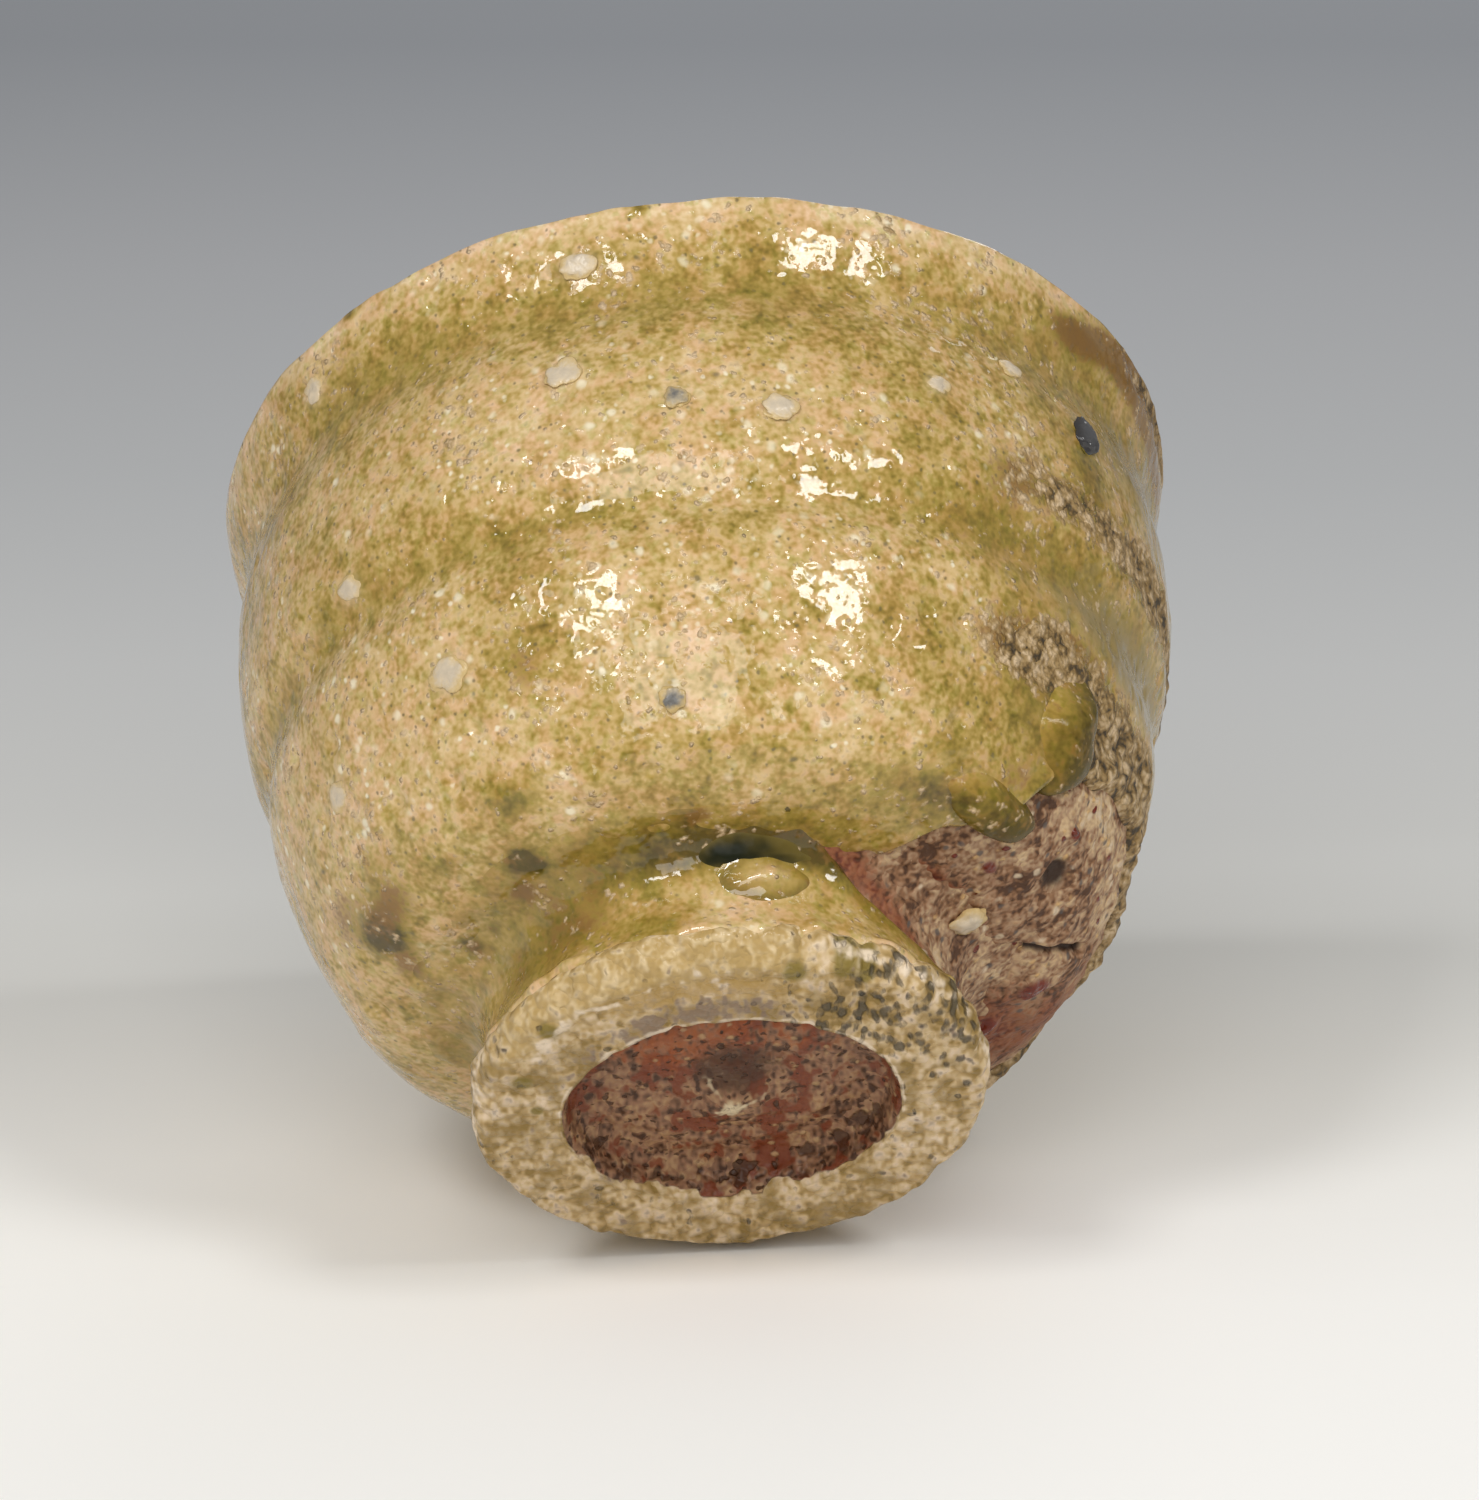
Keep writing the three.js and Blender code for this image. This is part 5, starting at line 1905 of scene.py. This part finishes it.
@dataclass
class Studio:
    """The slope that the cup lies against, the level floor for the other views, lamps and world.

    The photographed cup is tipped back on the edge of its foot. The frame keeps the cup upright, so
    the photograph's table is a slope that touches the back of the foot; its far side is not seen.
    """

    slope: float = 35.0
    swing: float = -4.2
    gap: float = 14.4
    reach: float = 1500.0
    lamps: tuple[Lamp, ...] = (
        Lamp("left_lamp", -112, 3, 0.8, 0.19, 1.75),
        Lamp("right_lamp", -57, 1, 0.8, 0.19, 1.75),
        Lamp("front_lamp", -94, -20, 0.9, 0.50, 2.6),
        Lamp("top_lamp", 30, 72, 0.6, 0.30, 0.55),
        Lamp("back_lamp", 120, 30, 0.8, 0.35, 1.4),
    )
    aim: tuple[float, float, float] = (0.0, 0.0, 0.025)
    world_strength: float = 0.29
    world_tone: Colour = (1.0, 0.99, 0.97)
    floor_level: float = -0.03
    floor_tone: Colour = (0.85, 0.83, 0.80)
    fade: tuple[float, float] = (-0.05, 0.35)
    fade_turn: float = 0.17
    # Tones from near to far: darker and cooler far off, partly the grey of the paper and partly painted light
    # falloff.
    tones: tuple[tuple[float, Colour], ...] = (
        (0.05, (0.955, 0.945, 0.915)), (0.13, (0.955, 0.945, 0.915)), (0.19, (0.905, 0.894, 0.862)),
        (0.25, (0.78, 0.77, 0.737)), (0.31, (0.683, 0.68, 0.655)), (0.375, (0.622, 0.622, 0.608)),
        (0.47, (0.585, 0.590, 0.588)), (0.60, (0.50, 0.510, 0.519)), (0.755, (0.431, 0.439, 0.455)),
        (0.955, (0.312, 0.325, 0.348)),
    )

    def sheet(self, name: str, corners: Array, material: bpy.types.Material) -> bpy.types.Object:
        """Adds a flat four-cornered sheet as part of the stage.

        Args:
            name: Name of the sheet.
            corners: Its corners in millimetres.
            material: Its finish.

        Returns:
            The new object.
        """
        mesh = bpy.data.meshes.new(name)
        mesh.from_pydata((corners * MM).tolist(), [], [(0, 1, 2, 3)])
        mesh.materials.append(material)
        sheet = bpy.data.objects.new(name, mesh)
        bpy.context.scene.collection.objects.link(sheet)
        return sheet

    def faded(self, g: Graph) -> Wire:
        """The slope's tone, read off the row of tones by the way along the slope; darker far off, partly
        painted light falloff.

        Args:
            g: The material's tree.

        Returns:
            The colour.
        """
        right, back, _ = self.axes()
        sockets = {0: g.spot, 1: tuple(back + self.fade_turn * right)}
        far = g.node("VectorMath", {"operation": "DOT_PRODUCT"}, sockets, 1)
        share = g.node("MapRange", None, {"Value": far, "From Min": self.fade[0], "From Max": self.fade[1]})
        return g.ramp(share, *zip(*self.tones))

    def one_sided(self, name: str, colour: Colour | None) -> bpy.types.Material:
        """A matt sheet that is clear from behind.

        Args:
            name: Name of the finish.
            colour: Its colour; without one it fades from near to far tone.

        Returns:
            The material.
        """
        g = Graph(name)
        matt = g.node("BsdfDiffuse", None, {"Color": self.faded(g) if colour is None else colour})
        clear = g.node("BsdfTransparent")
        behind = g.node("NewGeometry", output=6)
        mixed = g.node("MixShader", None, {0: behind, 1: matt, 2: clear})
        g.node("OutputMaterial", None, {"Surface": mixed})
        return g.material

    def axes(self) -> tuple[Array, Array, Array]:
        """The slope's axes, from its swing round the cup and its tilt.

        Returns:
            Its own right, its way up and back, and its normal.
        """
        swing, slope = math.radians(self.swing), math.radians(self.slope)
        flat = np.array([math.sin(swing), math.cos(swing), 0.0])
        up = np.array([0.0, 0.0, 1.0])
        back = flat * math.sin(slope) + up * math.cos(slope)
        normal = up * math.sin(slope) - flat * math.cos(slope)
        return np.cross(back, normal), back, normal

    def build(self) -> None:
        """Adds the two sheets, the lamps and the world."""
        right, back, normal = self.axes()
        turns = np.array([[-1, -1], [1, -1], [1, 1], [-1, 1]]) * self.reach
        tilted = -normal * self.gap + turns[:, :1] * right + turns[:, 1:] * back
        self.sheet("table_slope", tilted, self.one_sided("slope_paper", None))
        level = np.concatenate([turns, np.full((4, 1), self.floor_level)], axis=1)
        floor = self.sheet("level_floor", level, self.one_sided("floor_paper", self.floor_tone))
        floor.visible_shadow = floor.visible_diffuse = False
        floor.visible_glossy = floor.visible_transmission = False
        for lamp in self.lamps:
            lamp.build(Vector(self.aim))
        world = bpy.data.worlds.new("studio_world")
        world.use_nodes = True
        sockets = world.node_tree.nodes["Background"].inputs
        sockets["Color"].default_value = (*self.world_tone, 1.0)
        sockets["Strength"].default_value = self.world_strength
        bpy.context.scene.world = world


@dataclass(frozen=True)
class PhotoCamera:
    """The photograph's camera: below the foot, looking up at the cup's side, a little rolled."""

    elevation: float = -34.677
    roll: float = -5.162
    distance: float = 700.0
    pixels_per_mm: float = 15.311
    anchor: tuple[float, float] = (731.4, 1101.2)
    picture: tuple[int, int] = (1479, 1500)
    sensor: float = 36.0
    clip: tuple[float, float] = (0.01, 10.0)

    def build(self, shape: CupShape) -> None:
        """Adds the camera, turned so that the middle of the foot falls on its pixel.

        The lens is the sensor's width times the pixels per radian over the picture's width.

        Args:
            shape: The cup, for the place of its foot.
        """
        raised, rolled = math.radians(self.elevation), math.radians(self.roll)
        away = Vector((0.0, -math.cos(raised), math.sin(raised)))
        right = Vector((1.0, 0.0, 0.0))
        up = away.cross(right)
        across = right * math.cos(rolled) + up * math.sin(rolled)
        upward = up * math.cos(rolled) - right * math.sin(rolled)
        focal = self.pixels_per_mm * self.distance
        aim = -away + across * ((self.picture[0] / 2 - self.anchor[0]) / focal)
        aim -= upward * ((self.picture[1] / 2 - self.anchor[1]) / focal)
        back = -aim.normalized()
        across = (across - back * across.dot(back)).normalized()
        upward = back.cross(across)
        data = bpy.data.cameras.new("photo_camera")
        data.sensor_fit, data.sensor_width = "HORIZONTAL", self.sensor
        data.lens = focal * self.sensor / self.picture[0]
        data.clip_start, data.clip_end = self.clip
        place = (away * self.distance + Vector((-shape.lean, 0, 0))) * MM
        camera = bpy.data.objects.new("photo_camera", data)
        turned = Matrix((across, upward, back)).transposed()
        camera.matrix_world = Matrix.Translation(place) @ turned.to_4x4()
        bpy.context.scene.collection.objects.link(camera)
        bpy.context.scene.camera = camera


def main() -> None:
    """Builds the cup's pieces, the stage and the camera."""
    logging.basicConfig(level=logging.INFO, format="%(name)s %(message)s")
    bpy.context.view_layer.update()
    bpy.context.scene.view_settings.view_transform = "Standard"
    shape = CupShape()
    stones = Stones(shape)
    for assembly in (Bowl(shape, stones.patches()), Foot(shape), WallGlass(shape), stones):
        assembly.build()
        LOG.info("%s done", type(assembly).__name__)
    Studio().build()
    PhotoCamera().build(shape)
    bpy.context.view_layer.update()


if __name__ == "__main__":
    main()
